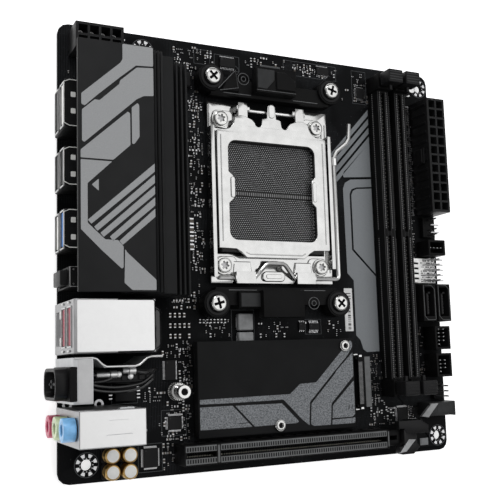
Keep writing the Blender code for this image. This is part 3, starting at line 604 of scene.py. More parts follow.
class Population:
    """Small surface parts, gathered into one piece for each look."""

    def __init__(self, name):
        self.name = name
        self.shapes = {}

    def of(self, look):
        return self.shapes.setdefault(look, Shape())

    def two_ended(self, x, y, length, width, height, along_x, body):
        """A resistor or a ceramic capacitor between its two tinned ends."""

        def add(look, lengthwise, z, edge):
            across = about(y if along_x else x, width / 2)
            spans = (lengthwise, across) if along_x else (across, lengthwise)
            self.of(look).box(*spans, z, edge)

        middle, half, end = x if along_x else y, length / 2, 0.26 * length
        add(body, (middle - half + end, middle + half - end), (0.02, height - 0.03), 0.05)
        for side in (-1, 1):
            add("solder", beside(middle, side, half, half - end), (0.0, height), 0.07)

    def chip(self, x, y, height, pins, sides="xy", reach=0.7):
        """A moulded chip with a marked corner and bent leads along its sides."""
        self.of("chip").box(x, y, (0.1, height), 0.14)
        mark = [(0.32, height - 0.1), (0.3, height + 0.015)]
        self.of("dark_grey").turned((x[0] + 0.9, y[1] - 0.9, 0), mark, sides=16)
        leads = self.of("solder")
        for axis, span, across in (("x", x, y), ("y", y, x)):
            if axis not in sides:
                continue
            count = max(2, round(pins * (span[1] - span[0]) / 10))
            step = (span[1] - span[0] - 1.0) / (count - 1)
            for k in range(count):
                thin = about(span[0] + 0.5 + k * step, 0.13)
                for inner, side in ((across[0], -1), (across[1], 1)):
                    for near, far, z, edge in (
                        (0.02, reach, (0.0, 0.16), 0.03),
                        (-0.05, reach * 0.45, (0.14, min(0.6, height - 0.1)), 0.04),
                    ):
                        lead = beside(inner, side, near, far)
                        leads.box(*((thin, lead) if axis == "x" else (lead, thin)), z, edge)

    def choke(self, x, y, height, look="ferrite"):
        """A pressed power inductor: a pale block between two copper feet."""
        self.of(look).box(x, y, (0.1, height), 0.35)
        for foot in ((x[0] - 0.25, x[0] + 0.6), (x[1] - 0.6, x[1] + 0.25)):
            self.of("solder").box(foot, within(y, 1.2), (0.0, 0.9), 0.1)

    def finish(self):
        for look, shape in self.shapes.items():
            shape.piece(f"{self.name}_{look}", look)


def scatter(parts, chance, x, y, pitch, share, avoid=()):
    """Fills a field with small two-ended parts in loose rows."""
    for row in range(int((y[1] - y[0]) / pitch[1])):
        at = x[0] + chance.uniform(0, 0.5)
        while at < x[1]:
            step = pitch[0] * chance.choice((1.0, 1.0, 1.25))
            here = (at + step / 2, y[0] + (row + 0.5) * pitch[1])
            clear = all(not (ax[0] < here[0] < ax[1] and ay[0] < here[1] < ay[1]) for ax, ay in avoid)
            if clear and chance.random() < share:
                tall = chance.random() < 0.4
                length, width = chance.choice(((1.0, 0.5), (1.0, 0.5), (1.6, 0.8)))
                if max(pitch) < 1.5:
                    length, width = 1.0, 0.5
                height, body = (0.5, "ceramic") if tall else (0.35, "resistor")
                parts.two_ended(*here, length, width, height, chance.random() < 0.35, body)
            at += step


# Fields of small parts: their span in x and in y, the pitch of parts and rows, and the share filled.
FIELDS = (
    ((40.0, 49.4), (12.6, 27.6), (1.5, 1.2), 0.62), ((46.4, 50.0), (27.8, 50.0), (1.5, 1.3), 0.55),
    ((38.4, 49.6), (43.4, 49.6), (1.6, 1.3), 0.55), ((44.6, 49.8), (34.6, 43.0), (1.7, 1.3), 0.6),
    ((30.6, 38.6), (25.6, 33.8), (1.7, 1.4), 0.45), ((24.5, 38.8), (14.6, 25.0), (1.9, 1.7), 0.3),
    ((42.4, 54.0), (64.0, 75.6), (1.6, 1.3), 0.5), ((49.6, 56.4), (75.8, 146.0), (1.5, 1.25), 0.62),
    ((56.0, 66.0), (51.0, 58.6), (1.7, 1.4), 0.45), ((79.2, 92.0), (50.4, 58.0), (1.9, 1.6), 0.3),
    ((97.0, 117.6), (50.2, 58.0), (1.9, 1.7), 0.25), ((45.0, 55.0), (146.0, 168.4), (1.6, 1.4), 0.45),
    ((55.0, 62.0), (161.6, 168.4), (1.5, 1.2), 0.6), ((76.0, 95.0), (163.0, 169.0), (1.6, 1.3), 0.3),
    ((96.0, 120.6), (162.4, 168.0), (1.5, 1.2), 0.55), ((129.6, 136.4), (153.4, 167.6), (1.5, 1.25), 0.5),
    ((152.2, 158.0), (66.0, 156.0), (1.35, 1.2), 0.66), ((152.0, 160.6), (58.2, 66.0), (1.5, 1.3), 0.1),
    ((152.4, 159.0), (24.0, 54.4), (1.5, 1.3), 0.5), ((131.0, 137.4), (20.8, 43.0), (1.4, 1.2), 0.6),
    ((129.8, 152.6), (12.4, 20.4), (1.5, 1.25), 0.6), ((26.0, 31.0), (12.2, 14.6), (1.6, 1.2), 0.5),
    ((38.0, 43.0), (2.0, 12.0), (1.6, 1.4), 0.45), ((3.0, 40.0), (148.6, 156.0), (1.9, 1.7), 0.3),
    ((24.0, 29.0), (156.4, 168.0), (1.8, 1.6), 0.35), ((122.0, 132.0), (153.0, 168.0), (2.6, 2.2), 0.15),
    ((109.0, 118.0), (63.0, 70.0), (2.2, 1.8), 0.15),
)
# Chips: span in x and in y, height, leads for each 10 mm of side, and the sides that have them.
CHIPS = (
    ((39.9, 44.1), (35.0, 42.6), 1.0, 20, "y"), ((40.7, 46.2), (16.6, 21.8), 0.9, 20),
    ((31.0, 36.6), (3.6, 10.6), 1.2, 24), ((102.4, 107.2), (53.2, 55.9), 1.2, 14, "x", 1.2),
    ((97.8, 100.6), (53.2, 56.4), 0.9, 12, "x"), ((144.0, 149.6), (13.4, 19.4), 0.9, 18),
    ((151.8, 155.4), (15.9, 19.1), 0.9, 12, "y"), ((131.0, 135.0), (155.2, 160.0), 0.9, 14),
    ((153.0, 156.6), (84.6, 90.0), 0.9, 12, "y"), ((153.2, 156.4), (70.0, 73.0), 0.8, 12, "y"),
    ((65.6, 72.4), (161.2, 165.4), 1.0, 14, "x"), ((111.0, 117.0), (163.6, 167.2), 1.0, 14, "x"),
)
CHOKES = (
    ((69.8, 76.2), (53.4, 59.9), 2.9), ((69.8, 76.2), (46.6, 52.6), 2.9),
    ((82.8, 92.0), (156.4, 163.4), 3.6, "ferrite_dark"), ((47.4, 52.2), (150.6, 156.4), 2.4, "chip"),
)


def make_small_parts():
    """Resistors, ceramic capacitors, chips, chokes and pads all over the laminate."""
    chance = random.Random(SEED)
    parts = Population("surface")
    avoid = [chip[:2] for chip in CHIPS[:4]] + [((68.4, 77.6), (48.9, 61.8))]
    for field in FIELDS:
        scatter(parts, chance, *field, avoid)
    for row, y in enumerate((51.6, 55.6, 59.6)):
        for k in range(5):
            if (row, k) not in ((0, 3), (2, 4)):
                parts.two_ended(42.4 + 1.9 * k, y, 1.7, 0.9, 0.5, False, "ceramic")
    for y in (62.6, 65.2, 67.8):
        for x in (44.6, 47.0, 50.0, 52.4):
            if (x, y) != (44.6, 67.8):
                parts.two_ended(x, y, 1.6, 0.8, 0.5, chance.random() < 0.5, "ceramic")
    for k in range(8):
        parts.two_ended(54.6 + 1.5 * k, 57.2, 1.6, 0.8, 0.45, False, "resistor")
    for chip in CHIPS:
        parts.chip(*chip)
    for choke in CHOKES:
        parts.choke(*choke)
    for k in range(4):
        parts.two_ended(51.9, 86.2 + 3.4 * k, 2.6, 1.7, 0.7, False, "ceramic")
    for k in range(14):
        parts.two_ended(45.9, 75.4 + 5.3 * k, 2.6, 1.8, 1.2, True, "resistor")
    parts.finish()
    pads = Shape()
    for centre in ((3.3, 27.9), (14.8, 27.6)):
        pads.ring((*centre, 0), 0.85, 1.75, (0.0, 0.16), edge=0.04)
    for k in range(4):
        for x in ((18.4, 19.7), (28.9, 30.2)):
            pads.box(x, (29.0 + 1.27 * k, 29.5 + 1.27 * k), (0.0, 0.4), 0.06)
    pads.piece("round_pads", "solder")
    Shape().boxes(
        ((155.4, 159.6), (2.6, 5.6), (0.02, 0.5), 0.1), ((155.9, 159.1), (3.0, 5.2), (0.45, 0.62), 0.05)
    ).piece("grey_part", "edge_grey")


def make_capacitors():
    """Four round gold capacitors beside the corner hole, and a tall can by the main power header."""
    sleeves, tops, feet = Shape(), Shape(), Shape()
    for x, y in ((18.4, 9.3), (24.8, 9.2), (18.4, 3.5), (24.8, 3.4)):
        feet.slab(rounded(about(x, 3.0), about(y, 2.85), 0.9, 3), (0.05, 1.0), 0.12)
        sleeve = [(2.75, 0.9), (2.85, 1.3), (2.85, 1.7), (2.6, 1.95), (2.6, 2.2), (2.85, 2.45), (2.85, 5.0),
                  (2.6, 5.35), (2.25, 5.45)]
        sleeves.turned((x, y, 0), sleeve, sides=36)
        tops.turned((x, y, 0), [(2.2, 5.3), (2.2, 5.5), (2.05, 5.58)], sides=36)
    sleeves.piece("capacitor_sleeves", "gold", smooth=40)
    tops.piece("capacitor_tops", "pearl", smooth=40)
    feet.piece("capacitor_feet", "satin_black")
    body = [(1.9, 0.1), (2.1, 0.3), (2.1, 5.2), (1.9, 5.6), (1.4, 5.7)]
    can = Shape().turned((157.6, 161.2, 0), body, sides=32)
    can.slab(rounded((155.3, 159.9), (159.0, 163.4), 0.5, 3), (0.05, 0.8), 0.1)
    can.piece("can_capacitor", "tin", smooth=40)


# ---------------------------------------------------------------- processor socket and cooler brackets

def sheet(outer, openings, z, edge=0.12, steps=2):
    """A flat sheet with openings, its sharp edges rounded. Returns vertices and faces."""
    loops = [list(outer)] + [list(o) for o in openings]
    flat = [[Vector((x, y, 0)) for x, y in loop] for loop in loops]
    points = [p for loop in loops for p in loop]
    shape = bmesh.new()
    rows = [[shape.verts.new((x, y, height)) for x, y in points] for height in z]
    for corners in tessellate_polygon(flat):
        a, b, c = (points[i] for i in corners)
        up = (b[0] - a[0]) * (c[1] - a[1]) - (c[0] - a[0]) * (b[1] - a[1]) > 0
        order = corners if up else tuple(reversed(corners))
        shape.faces.new([rows[1][i] for i in order])
        shape.faces.new([rows[0][i] for i in reversed(order)])
    start = 0
    for loop in loops:
        for k in range(len(loop)):
            i, j = start + k, start + (k + 1) % len(loop)
            shape.faces.new((rows[0][i], rows[0][j], rows[1][j], rows[1][i]))
        start += len(loop)
    round_edges(shape, edge, steps)
    verts = [tuple(v.co) for v in shape.verts]
    faces = [tuple(v.index for v in face.verts) for face in shape.faces]
    shape.free()
    return verts, faces


def star(centre, outer, inner, points=6, turn=0.0):
    """A rounded star, as the recess of a screw."""
    outline = []
    for k in range(points):
        for share, radius in ((0.0, outer), (0.17, outer * 0.97), (0.36, inner * 1.06), (0.5, inner),
                              (0.64, inner * 1.06), (0.83, outer * 0.97)):
            angle = math.radians(turn) + 2 * math.pi * (k + share) / points
            outline.append((centre[0] + radius * math.cos(angle), centre[1] + radius * math.sin(angle)))
    return outline


def make_screw(node, recess, head_r, head_h, washer=None, dome=0.35, depth=1.0, recess_shade_look="hollow"):
    """A screw over its CAD node: a domed head with a real recess, its washer and its shank."""
    span = Span(node)
    x, y, high = span.middle.x, span.middle.y, span.top
    low, floor = high - head_h, high - depth
    star_at = star((x, y), *recess)
    shape = Shape()
    shape.turned((x, y, 0), [(head_r * 0.9, low), (head_r, low + 0.2), (head_r, high - dome - 0.1),
                             (head_r * 0.95, high - dome * 0.5), (head_r * 0.86, high - dome * 0.12),
                             (head_r * 0.77, high), (head_r * 0.74, floor + 0.02)], sides=40)
    shape.add(*sheet(arc((x, y), head_r * 0.765, 0, 351, 39), [star_at], (floor, high - 0.03), 0.14, 3))
    shape.turned((x, y, 0), [(head_r * 0.35, span.z[0] + 0.02), (head_r * 0.35, low + 0.1)], sides=20)
    if washer:
        radius, under, over = washer
        shape.ring((x, y, 0), head_r * 0.5, radius, (high - under, high - over), edge=0.12)
    shape.piece(node + "_finish", "screw", replaced=(node,), smooth=35)
    # A thin slab on the recess floor, near-black or darker tin: painted shade at the bottom of the recess.
    Shape().slab(star_at, (floor + 0.02, floor + 0.06)).piece(node + "_recess", recess_shade_look)


def make_screws():
    """Screws of the socket, of the cooler brackets and of the flat heatsink."""
    for n in (1, 2, 3, 4):
        make_screw(f"socket_screw_{n}", (1.75, 1.1, 6, 17 * n), 3.0, 1.5, (3.6, 1.9, 1.35), recess_shade_look="zinc")
        make_screw(f"cooler_screw_{n}", (2.2, 0.8, 4, 12 + 31 * n), 3.3, 1.9, dome=0.6, depth=1.3)
    for n in (1, 2):
        make_screw(f"m2_heatsink_screw_{n}", (1.2, 1.05, 6, 45), 2.0, 0.9, (2.25, 1.0, 0.55), 0.25, 0.75)


def make_standoff():
    """The short card's stand-off: a knurled collar under a bright ring."""
    span = Span("m2_standoff")
    x, y, top = span.middle.x, span.middle.y, span.top
    shape = Shape()
    shape.turned((x, y, 0), [(3.3, 0.3), (3.4, 0.5), (3.4, 0.9), (2.9, 1.0), (2.9, 1.2)], sides=36)
    for angle in (2 * math.pi * k / 28 for k in range(28)):
        c, s = math.cos(angle), math.sin(angle)
        foot = [(x + c * r + -s * w, y + s * r + c * w)
                for r, w in ((2.6, -0.2), (3.4, -0.2), (3.4, 0.2), (2.6, 0.2))]
        shape.slab(foot, (0.9, 4.0), 0.08)
    shape.turned((x, y, 0), [(2.9, 0.9), (2.9, 4.0), (2.5, 4.1), (2.2, 4.3), (2.2, top - 0.9)], sides=36)
    shape.ring((x, y, 0), 1.1, 2.6, (top - 1.2, top), edge=0.25)
    shape.piece("m2_standoff_finish", "screw", replaced=("m2_standoff",), smooth=35)
    # A near-black ring down the bore: painted shade in the hole.
    bore = Shape().turned((x, y, 0), [(1.15, top - 0.95), (1.05, top - 0.8)], sides=24)
    bore.piece("m2_standoff_bore_shade", "hollow")


def plate_outline():
    """The hinged plate's edge: screw cut-outs and notches at the hinge end, a narrowed nose at the other."""
    left_cut = arc((63.9, 138.2), 5.0, 262, 352, 10)
    right_cut = arc((107.5, 138.2), 5.0, 188, 278, 10)
    left_notch = arc((79.4, 136.9), 1.5, 180, 360, 8)
    right_notch = arc((91.4, 136.9), 1.5, 180, 360, 8)
    nose = [(60.9, 85.4), (68.2, 85.2), (70.3, 84.0), (72.6, 81.8), (98.6, 81.8), (101.0, 84.0),
            (103.1, 85.2), (110.4, 85.4)]
    right = [(110.6, 86.0), (110.6, 132.6)]
    return (nose + right + right_cut[::-1] + [(102.2, 138.8), (99.6, 139.6), (97.4, 139.4), (94.2, 138.2)]
            + right_notch[::-1] + [(89.6, 139.0), (87.6, 139.4), (87.2, 144.6), (86.2, 145.6), (84.8, 145.6),
                                   (83.8, 144.6), (83.4, 139.4), (81.2, 139.0)]
            + left_notch[::-1] + [(76.6, 138.2), (73.6, 139.4), (71.4, 139.6), (69.2, 138.8)]
            + left_cut[::-1] + [(60.9, 132.6)])


def window_outline():
    """The window: rounded corners, with a lug standing in from each side."""
    x, y, r = (65.7, 104.9), (88.8, 129.0), 3.4
    points = arc((x[0] + r, y[0] + r), r, 180, 270, 6) + arc((x[1] - r, y[0] + r), r, 270, 360, 6)
    points += [(x[1], 103.4), (x[1] - 1.8, 105.2), (x[1] - 1.8, 114.4), (x[1], 116.2)]
    points += arc((x[1] - r, y[1] - r), r, 0, 90, 6) + arc((x[0] + r, y[1] - r), r, 90, 180, 6)
    return points + [(x[0], 116.2), (x[0] + 2.0, 114.4), (x[0] + 2.0, 105.2), (x[0], 103.4)]


def make_load_plate():
    """The plate with its window, the two curls round its rod, and its pressed lugs and lines."""
    body = body_of("load_plate")
    plate, lugs = Shape(), Shape()
    high = Span("load_plate").top
    plate.add(*sheet(plate_outline(), [window_outline()], (5.6, high), 0.22, 3))
    curl = anticlockwise(arc((142.5, 4.2), 1.95, 300, 90, 12)
                         + [(139.0, 6.1), (136.4, high), (136.4, high - 1.0), (139.0, 5.1)]
                         + arc((142.5, 4.2), 1.15, 90, 300, 12))
    for ends in ((70.6, 74.8), (96.6, 100.8)):
        plate.skin([[(x, y, z) for y, z in curl] for x in ends])
    plate.piece("load_plate_finish", "nickel", body, ("load_plate",), smooth=35)
    for x, y, radius, rise in (((66.4, 68.2), (105.6, 114.0), 0.85, 0.35),
                               ((103.4, 105.2), (105.6, 114.0), 0.85, 0.35),
                               ((84.2, 86.8), (139.6, 145.2), 1.1, 0.3)):
        lugs.slab(rounded(x, y, radius), (high, high + rise), 0.16)
    for x in (62.6, 108.9):
        lugs.tube([(x, 88.0, high - 0.1), (x, 131.0, high - 0.1)], 0.28)
    line = (72.4, 83.9), (74.0, 83.1), (97.4, 83.1), (99.0, 83.9)
    lugs.tube([(x, y, high - 0.12) for x, y in line], 0.26)
    lugs.piece("load_plate_pressings", "nickel", body, smooth=40)


def make_contact_field():
    """The land contacts: two blocks of slanted springs either side of a barred band."""
    contacts, base, bars = Shape(), Shape(), Shape()
    floor = 3.2
    # The base under the springs is a darker copy of the housing plastic: painted shade among the springs.
    base.slab(rounded((65.4, 105.8), (88.3, 129.6), 1.0, 4), (floor + 0.02, floor + 0.3), 0.05)
    base.box((66.0, 105.4), (106.9, 109.1), (floor + 0.3, floor + 0.5), 0.1)
    for y, end in ((89.2, 106.6), (109.5, 128.9)):
        odd = 0
        while y < end:
            for x in (66.4 + 0.87 * k + 0.43 * odd for k in range(45)):
                if x <= 105.0:
                    contacts.slab([(x, y), (x + 0.34, y - 0.16), (x + 0.52, y + 0.1), (x + 0.18, y + 0.26)],
                                  (floor + 0.3, floor + 0.62), 0.05)
            y += 0.78
            odd ^= 1
    for k in range(40):
        bars.box((67.0 + 0.95 * k, 67.45 + 0.95 * k), (107.3, 108.6), (floor + 0.48, floor + 0.7), 0.04)
    for k in range(26):
        bars.box((104.6, 105.2), (90.6 + 1.4 * k, 91.2 + 1.4 * k), (floor + 0.3, floor + 1.0), 0.06)
    base.piece("contact_base", "pin_dark")
    contacts.piece("contacts", "land_grey")
    bars.piece("contact_bars", "rail_tick")


def make_frame_details():
    """Rolled bearings, side rails and the raised tongue of the socket's frame."""
    parts = Shape()
    for x in (59.4, 61.0, 110.9, 112.6):
        parts.tube([(x, 76.6, 2.75), (x, 140.4, 2.75)], 0.3)
    for low, high in ((67.4, 76.6), (94.8, 104.0)):
        roll = [(2.15, 0.0), (2.45, 0.25), (2.45, high - low - 0.25), (2.15, high - low)]
        parts.turned((low, 73.9, 4.0), roll, "X", 28)
        parts.slab([(low + 0.3, 75.4), (high - 0.3, 75.4), (high - 1.0, 80.6), (low + 1.0, 80.6)],
                   (2.7, 3.4), 0.3)
    for low, high in ((70.0, 76.0), (95.4, 101.4)):
        roll = [(1.75, 0.0), (1.95, 0.2), (1.95, high - low - 0.2), (1.75, high - low)]
        parts.turned((low, 143.0, 4.4), roll, "X", 24)
    parts.slab(rounded((80.6, 90.8), (72.6, 76.8), 1.9, 7), (2.7, 3.7), 0.35)
    parts.slab(rounded((82.2, 89.2), (73.8, 75.6), 0.8, 6), (3.7, 4.0), 0.12)
    for x in (65.2, 106.2):
        parts.slab(rounded(about(x, 4.6), (134.4, 142.0), 2.2), (2.7, 3.1), 0.25)
        parts.slab(rounded((x - 4.4, x + 4.6), (75.2, 82.6), 2.2), (2.7, 3.1), 0.25)
    parts.piece("socket_frame_pressings", "nickel", smooth=40)


BRACKET_TOP = 7.0
HOOK_TOP = 11.9
# Each bracket: its middle in y, the bent wing line, the printed circle's centre, then slabs of
# steps and of facets as outline, heights and edge. Outlines are measured from the bracket's middle.
BRACKETS = {
    "top": (
        153.5, 1, [(-24.6, -4.6), (-17.0, 3.6), (-16.0, -3.6), (-24.0, -5.4)], (-12.6, 1.2),
        [([(-23, -4.8), (-15, -4.8), (-16.4, 3.8), (-18, 3.8)], (BRACKET_TOP, BRACKET_TOP + 1.2), 0.4),
         ([(-0.4, -3.6), (8.4, -3.6), (8.4, 1.0), (3.6, 4.2), (-0.4, 4.0)], (HOOK_TOP, 12.7), 0.35)],
        [([(-8.6, -3.4), (-4.6, -3.6), (-1.0, 0.4), (-0.9, 4.6), (-8.6, 4.6)], (HOOK_TOP, 12.3), 0.15)],
        [(about(0, 8.8), (-4.3, -4.1), (12.0, 12.15), 0.04)],
    ),
    "bottom": (
        63.5, -1, [(-7.6, -4.5), (-3.3, -3.5), (1.1, -0.5), (6.9, -0.8)], (16.0, -0.2),
        [([(-18, -4.7), (-7.4, -4.7), (-7.6, 1.9), (-18, 1.9)], (BRACKET_TOP, BRACKET_TOP + 2.0), 0.5),
         ([(-7.2, -4.4), (-3.3, -3.4), (0.7, -0.5), (0.5, 3.8), (-7.2, 3.8)],
          (BRACKET_TOP, BRACKET_TOP + 1.4), 0.5)],
        [([(-17.2, -4.0), (-8.2, -4.0), (-8.4, 1.3), (-17.2, 1.3)],
          (BRACKET_TOP + 1.9, BRACKET_TOP + 2.2), 0.1),
         ([(1.2, -0.4), (6.5, -0.4), (6.3, 4.2), (1.0, 4.2)], (BRACKET_TOP, BRACKET_TOP + 2.4), 0.5)],
        [],
    ),
}


def make_brackets():
    """Steps, facets, washers and small ribs on the two cooler brackets."""
    for name, (y_mid, side, wing, round_at, steps, facet_slabs, lines) in BRACKETS.items():
        x_mid = Span(f"cooler_bracket_{name}").middle.x
        tower, facets, rings, outlines = Shape(), Shape(), Shape(), Shape()

        def place(points):
            return [(x_mid + u, y_mid + side * v) for u, v in points]

        for shape, slabs in ((tower, steps), (facets, facet_slabs)):
            for points, z, edge in slabs:
                shape.slab(place(points), z, edge)
        for x, y, z, edge in lines:
            outlines.slab(place(rectangle(x, y)), z, edge)
        outlines.tube([(x, y, BRACKET_TOP + 2.3) for x, y in place(wing)], 0.16, 8)
        for radius in (1.0, 2.4):
            centre, z = place([round_at])[0], (BRACKET_TOP, BRACKET_TOP + 0.25)
            outlines.ring((*centre, 0), *about(radius, 0.12), z, edge=0.04)
        for x in ((-21.5, -9.5), (9.8, 21.5)):
            outlines.slab(place(rectangle(x, (-5.5, -5.2))), (BRACKET_TOP, BRACKET_TOP + 0.2), 0.05)
        for u in (-27.0, 27.0):
            rings.ring((x_mid + u, y_mid, 0), 3.5, 4.7, (8.5, 8.9), edge=0.12)
        outlines.piece(f"bracket_{name}_outlines", "rail_grey", smooth=40)
        tower.piece(f"bracket_{name}_steps", "black")
        facets.piece(f"bracket_{name}_facets", "dark_grey")
        rings.piece(f"bracket_{name}_rings", "satin_black", smooth=40)


# ---------------------------------------------------------------- rear connectors

def mouth_frame(shape, y, z, wall=0.32, flare=0.15):
    """The thin flared lip round a rectangular mouth, standing out of the rear face."""
    x, outer = (-1.4, -0.9), within(z, -wall)
    shape.box(x, y, (outer[0] - flare, z[0]), 0.12)
    shape.box(x, y, (z[1], outer[1] + flare), 0.12)
    for side in ((y[0] - wall, y[0]), (y[1], y[1] + wall)):
        shape.box(x, within(side, -0.1), outer, 0.12)


def make_usb(name, node, mouths, half, looks, pins=4):
    """The tongues, contacts, mouth lips and top outline of a two-level stack."""
    span = Span(node)
    mid, top = span.middle.y, span.top
    lips, contacts = Shape(), Shape()
    for level, (low, high) in enumerate(mouths):
        tongues = Shape()
        mouth = about(mid, half)
        mouth_frame(lips, mouth, (low, high))
        tongues.box((-1.3, 12.0), within(mouth, 0.5), (high - 2.9, high - 0.3), 0.2)
        tongues.box((8.5, 12.6), within(mouth, 0.1), (low + 0.2, high - 0.2), 0.15)
        for k in range(pins):
            y = mid + (k - (pins - 1) / 2) * 2.3
            contacts.box((-1.2, 8.6), about(y, 0.5), (high - 3.05, high - 2.85), 0.06)
        tongues.piece(f"{name}_tongue_{level + 1}", looks[level])
    lips.piece(f"{name}_lips", "tin")
    contacts.piece(f"{name}_contacts", "pearl")
    cap, edges = Shape(), Shape()
    x, y = (0.2, span.x[1] - 0.1), within(span.y, 0.4)
    cap.slab(rectangle(x, y), (top, top + 0.1), 0.03)
    mouth = within(y, 0.9)
    cap.slab([(-1.4, mouth[0]), (x[0], y[0]), (x[0], y[1]), (-1.4, mouth[1])], (top, top + 0.08), 0.02)
    cap.piece(f"{name}_cover", "satin_black")
    for path in (*([(-1.5, m), (0.4, s), (x[1], s)] for m, s in zip(mouth, y)), [(-1.5, m) for m in mouth]):
        edges.tube([(*point, top + 0.12) for point in path], 0.16, 8)
    for y in about(mid, 3.0):
        edges.slab(rounded((0.9, 2.6), about(y, 0.95), 0.3, 3), (top + 0.1, top + 0.1 + 0.12), 0.04)
    edges.piece(f"{name}_edges", "pearl")


def make_usb_stacks():
    """The display connector and the two USB stacks, which are built alike."""
    make_usb("display", "display_connector", ((2.0, 7.2), (10.6, 15.8)), 7.7, ("dark_grey", "pearl"), 6)
    mouths = ((2.2, 7.5), (10.4, 15.7))
    make_usb("usb_lower", "usb_stack_lower_speed", mouths, 6.5, ("dark_grey", "dark_grey"))
    make_usb("usb_high", "usb_stack_high_speed", mouths, 6.5, ("pearl", "blue"))


def make_network():
    """The tall network stack: top outline, side windows, springs, red tongues and the socket's lights."""
    span = Span("network_usb_stack")
    top, mid, back = span.top, span.middle.y, span.x[1]
    lines, lips, tongues, contacts, springs = Shape(), Shape(), Shape(), Shape(), Shape()
    y = within(span.y, 0.25)
    lines.tube([(*place, top + 0.03) for place in (
        (13.8, y[1]), (back - 0.9, y[1]), (back - 0.3, span.y[1] - 0.9),
        (back - 0.3, span.y[0] + 0.9), (back - 0.9, y[0]), (13.8, y[0]))], 0.24, 8)
    for y in (span.y[0] + 3.8, mid - 1.0, span.y[1] - 3.6):
        lines.box((back - 0.5, back + 0.12), about(y, 0.8), (top - 1.6, top + 0.05), 0.1)
    lines.piece("network_outline", "black")
    for low, high in ((12.6, 17.9), (21.4, 26.7)):
        mouth_frame(lips, about(mid, 6.5), (low, high))
        tongues.box((-1.3, 12.0), about(mid, 6.3), (high - 3.3, high - 0.3), 0.2)
        tongues.box((7.5, 12.6), about(mid, 6.4), (low + 0.2, high - 0.2), 0.15)
        for k in range(5):
            contacts.box((-1.2, 7.6), about(mid + (k - 2) * 2.1, 0.45), (high - 3.45, high - 3.25), 0.06)
    for y in about(mid, 8.1):
        for z in (14.6, 23.6):
            springs.box((-1.6, -0.9), about(y, 0.35), about(z, 1.4), 0.12)
    for k in range(8):
        contacts.box((1.4, 9.0), about(mid + (k - 3.5) * 1.02, 0.22), (8.6, 8.85), 0.05)
    lips.piece("network_lips", "tin")
    tongues.piece("network_tongues", "red")
    contacts.piece("network_contacts", "pearl")
    springs.piece("network_springs", "tin")
    lights = Shape()
    for side in (-1, 1):
        lights.box((-1.5, -0.6), beside(mid, side, 3.2, 6.0), (10.4, 11.7), 0.15)
    lights.piece("network_lights", "pearl")
    # A paler tin slab on the top face: painted highlight on the top of the shell.
    can = rounded((0.1, back - 0.5), within(span.y, 0.45), 0.4, 3)
    Shape().slab(can, (top - 0.02, top + 0.08), 0.04).piece("network_top", "bright_tin")
    rear = Shape()
    rear.slab(rounded((28.4, 34.6), (45.4, 62.6), 2.8, 6), (0.1, 14.0), 0.9)
    rear.slab(rounded((29.2, 33.8), (46.6, 61.4), 2.2, 6), (13.6, 14.9), 0.5)
    rear.piece("network_filter", "gloss_black", smooth=40)


def make_button_details():
    """The rear button's top: its edge line, four rivets and the stepped cover."""
    span = Span("rear_button_housing")
    top, back = span.top, span.x[1]
    edges, cover = Shape(), Shape()
    y = within(span.y, 0.2)
    corners = rectangle((0.2, back - 0.2), y)
    edges.tube([(*corners[k], top + 0.05) for k in (3, 2, 1, 0, 3)], 0.11, 8)
    for x, side in ((1.4, y[1] - 0.9), (7.2, y[1] - 0.9), (7.2, y[0] + 0.9), (1.4, y[0] + 0.9)):
        edges.turned((x, side, 0), [(0.35, top), (0.3, top + 0.14)], sides=14)
    edges.piece("button_outline", "tin")
    cover.slab(rectangle((0.5, back - 0.5), within(y, 0.3)), (top, top + 0.06), 0.02)
    cover.slab(rectangle((2.0, 6.4), within(y, 1.6)), (top, top + 0.12), 0.04)
    cover.piece("button_cover", "satin_black")


def make_audio():
    """Pressed lines on the audio stack, its face plate and the rims of the three jacks."""
    span = Span("audio_stack")
    top, end = span.top, span.x[1]
    lines, back = Shape(), Shape()
    y = span.y[0] + 4.0
    lines.tube([(8.2, y - 0.2, top), (8.6, y, top), (16.4, y + 0.15, top), (16.8, y - 0.1, top)], 0.11, 8)
    lines.tube([(9.2, y + 4.6, top - 0.03), (15.6, y + 4.7, top - 0.03)], 0.09, 8)
    lines.tube([(0.0, span.y[0] + 0.3, top - 0.02), (end - 0.4, span.y[0] + 0.3, top - 0.02)], 0.1, 8)
    window = rounded((13.0, 18.0), (span.y[1] - 0.5, span.y[1] + 0.55), 0.4, 4)
    lines.slab(window, (top - 3.2, top - 1.2), 0.1)
    lines.piece("audio_pressings", "grey_metal")
    # A paler tin slab on the top face: painted highlight on the top of the shell.
    can = rectangle((-0.3, end - 0.3), within(span.y, 0.3))
    Shape().slab(can, (top - 0.06, top + 0.04), 0.03).piece("audio_top", "bright_tin")
    back.box((end, end + 1.8), within(span.y, 0.9), (0.2, 8.0), 0.2)
    for k in range(5):
        back.box((end + 1.6, end + 3.0), (span.y[0] + 1.2 + 2.3 * k, span.y[0] + 2.4 + 2.3 * k),
                 (0.2, 4.4), 0.15)
    back.piece("audio_foot", "satin_black")
    for colour, look in (("pink", "pink"), ("green", "green"), ("blue", "light_blue")):
        jack = Span(f"audio_jack_{colour}")
        centre = (jack.x[0], jack.middle.y, jack.middle.z)
        rim = Shape().ring(centre, 2.0, 3.55, (0.0, 0.4), "X", 36, 0.12)
        rim.ring(centre, 1.8, 2.25, (0.3, 3.4), "X", 28, 0.1)
        rim.piece(f"{colour}_jack_rim", look, smooth=40)
        # A near-black tube inside each jack: painted shade in its bore.
        hole = Shape().ring((centre[0] + 0.9, *centre[1:]), 0.4, 1.85, (0.0, 2.6), "X", 24, 0.1)
        hole.piece(f"{colour}_jack_bore_shade", "hollow")


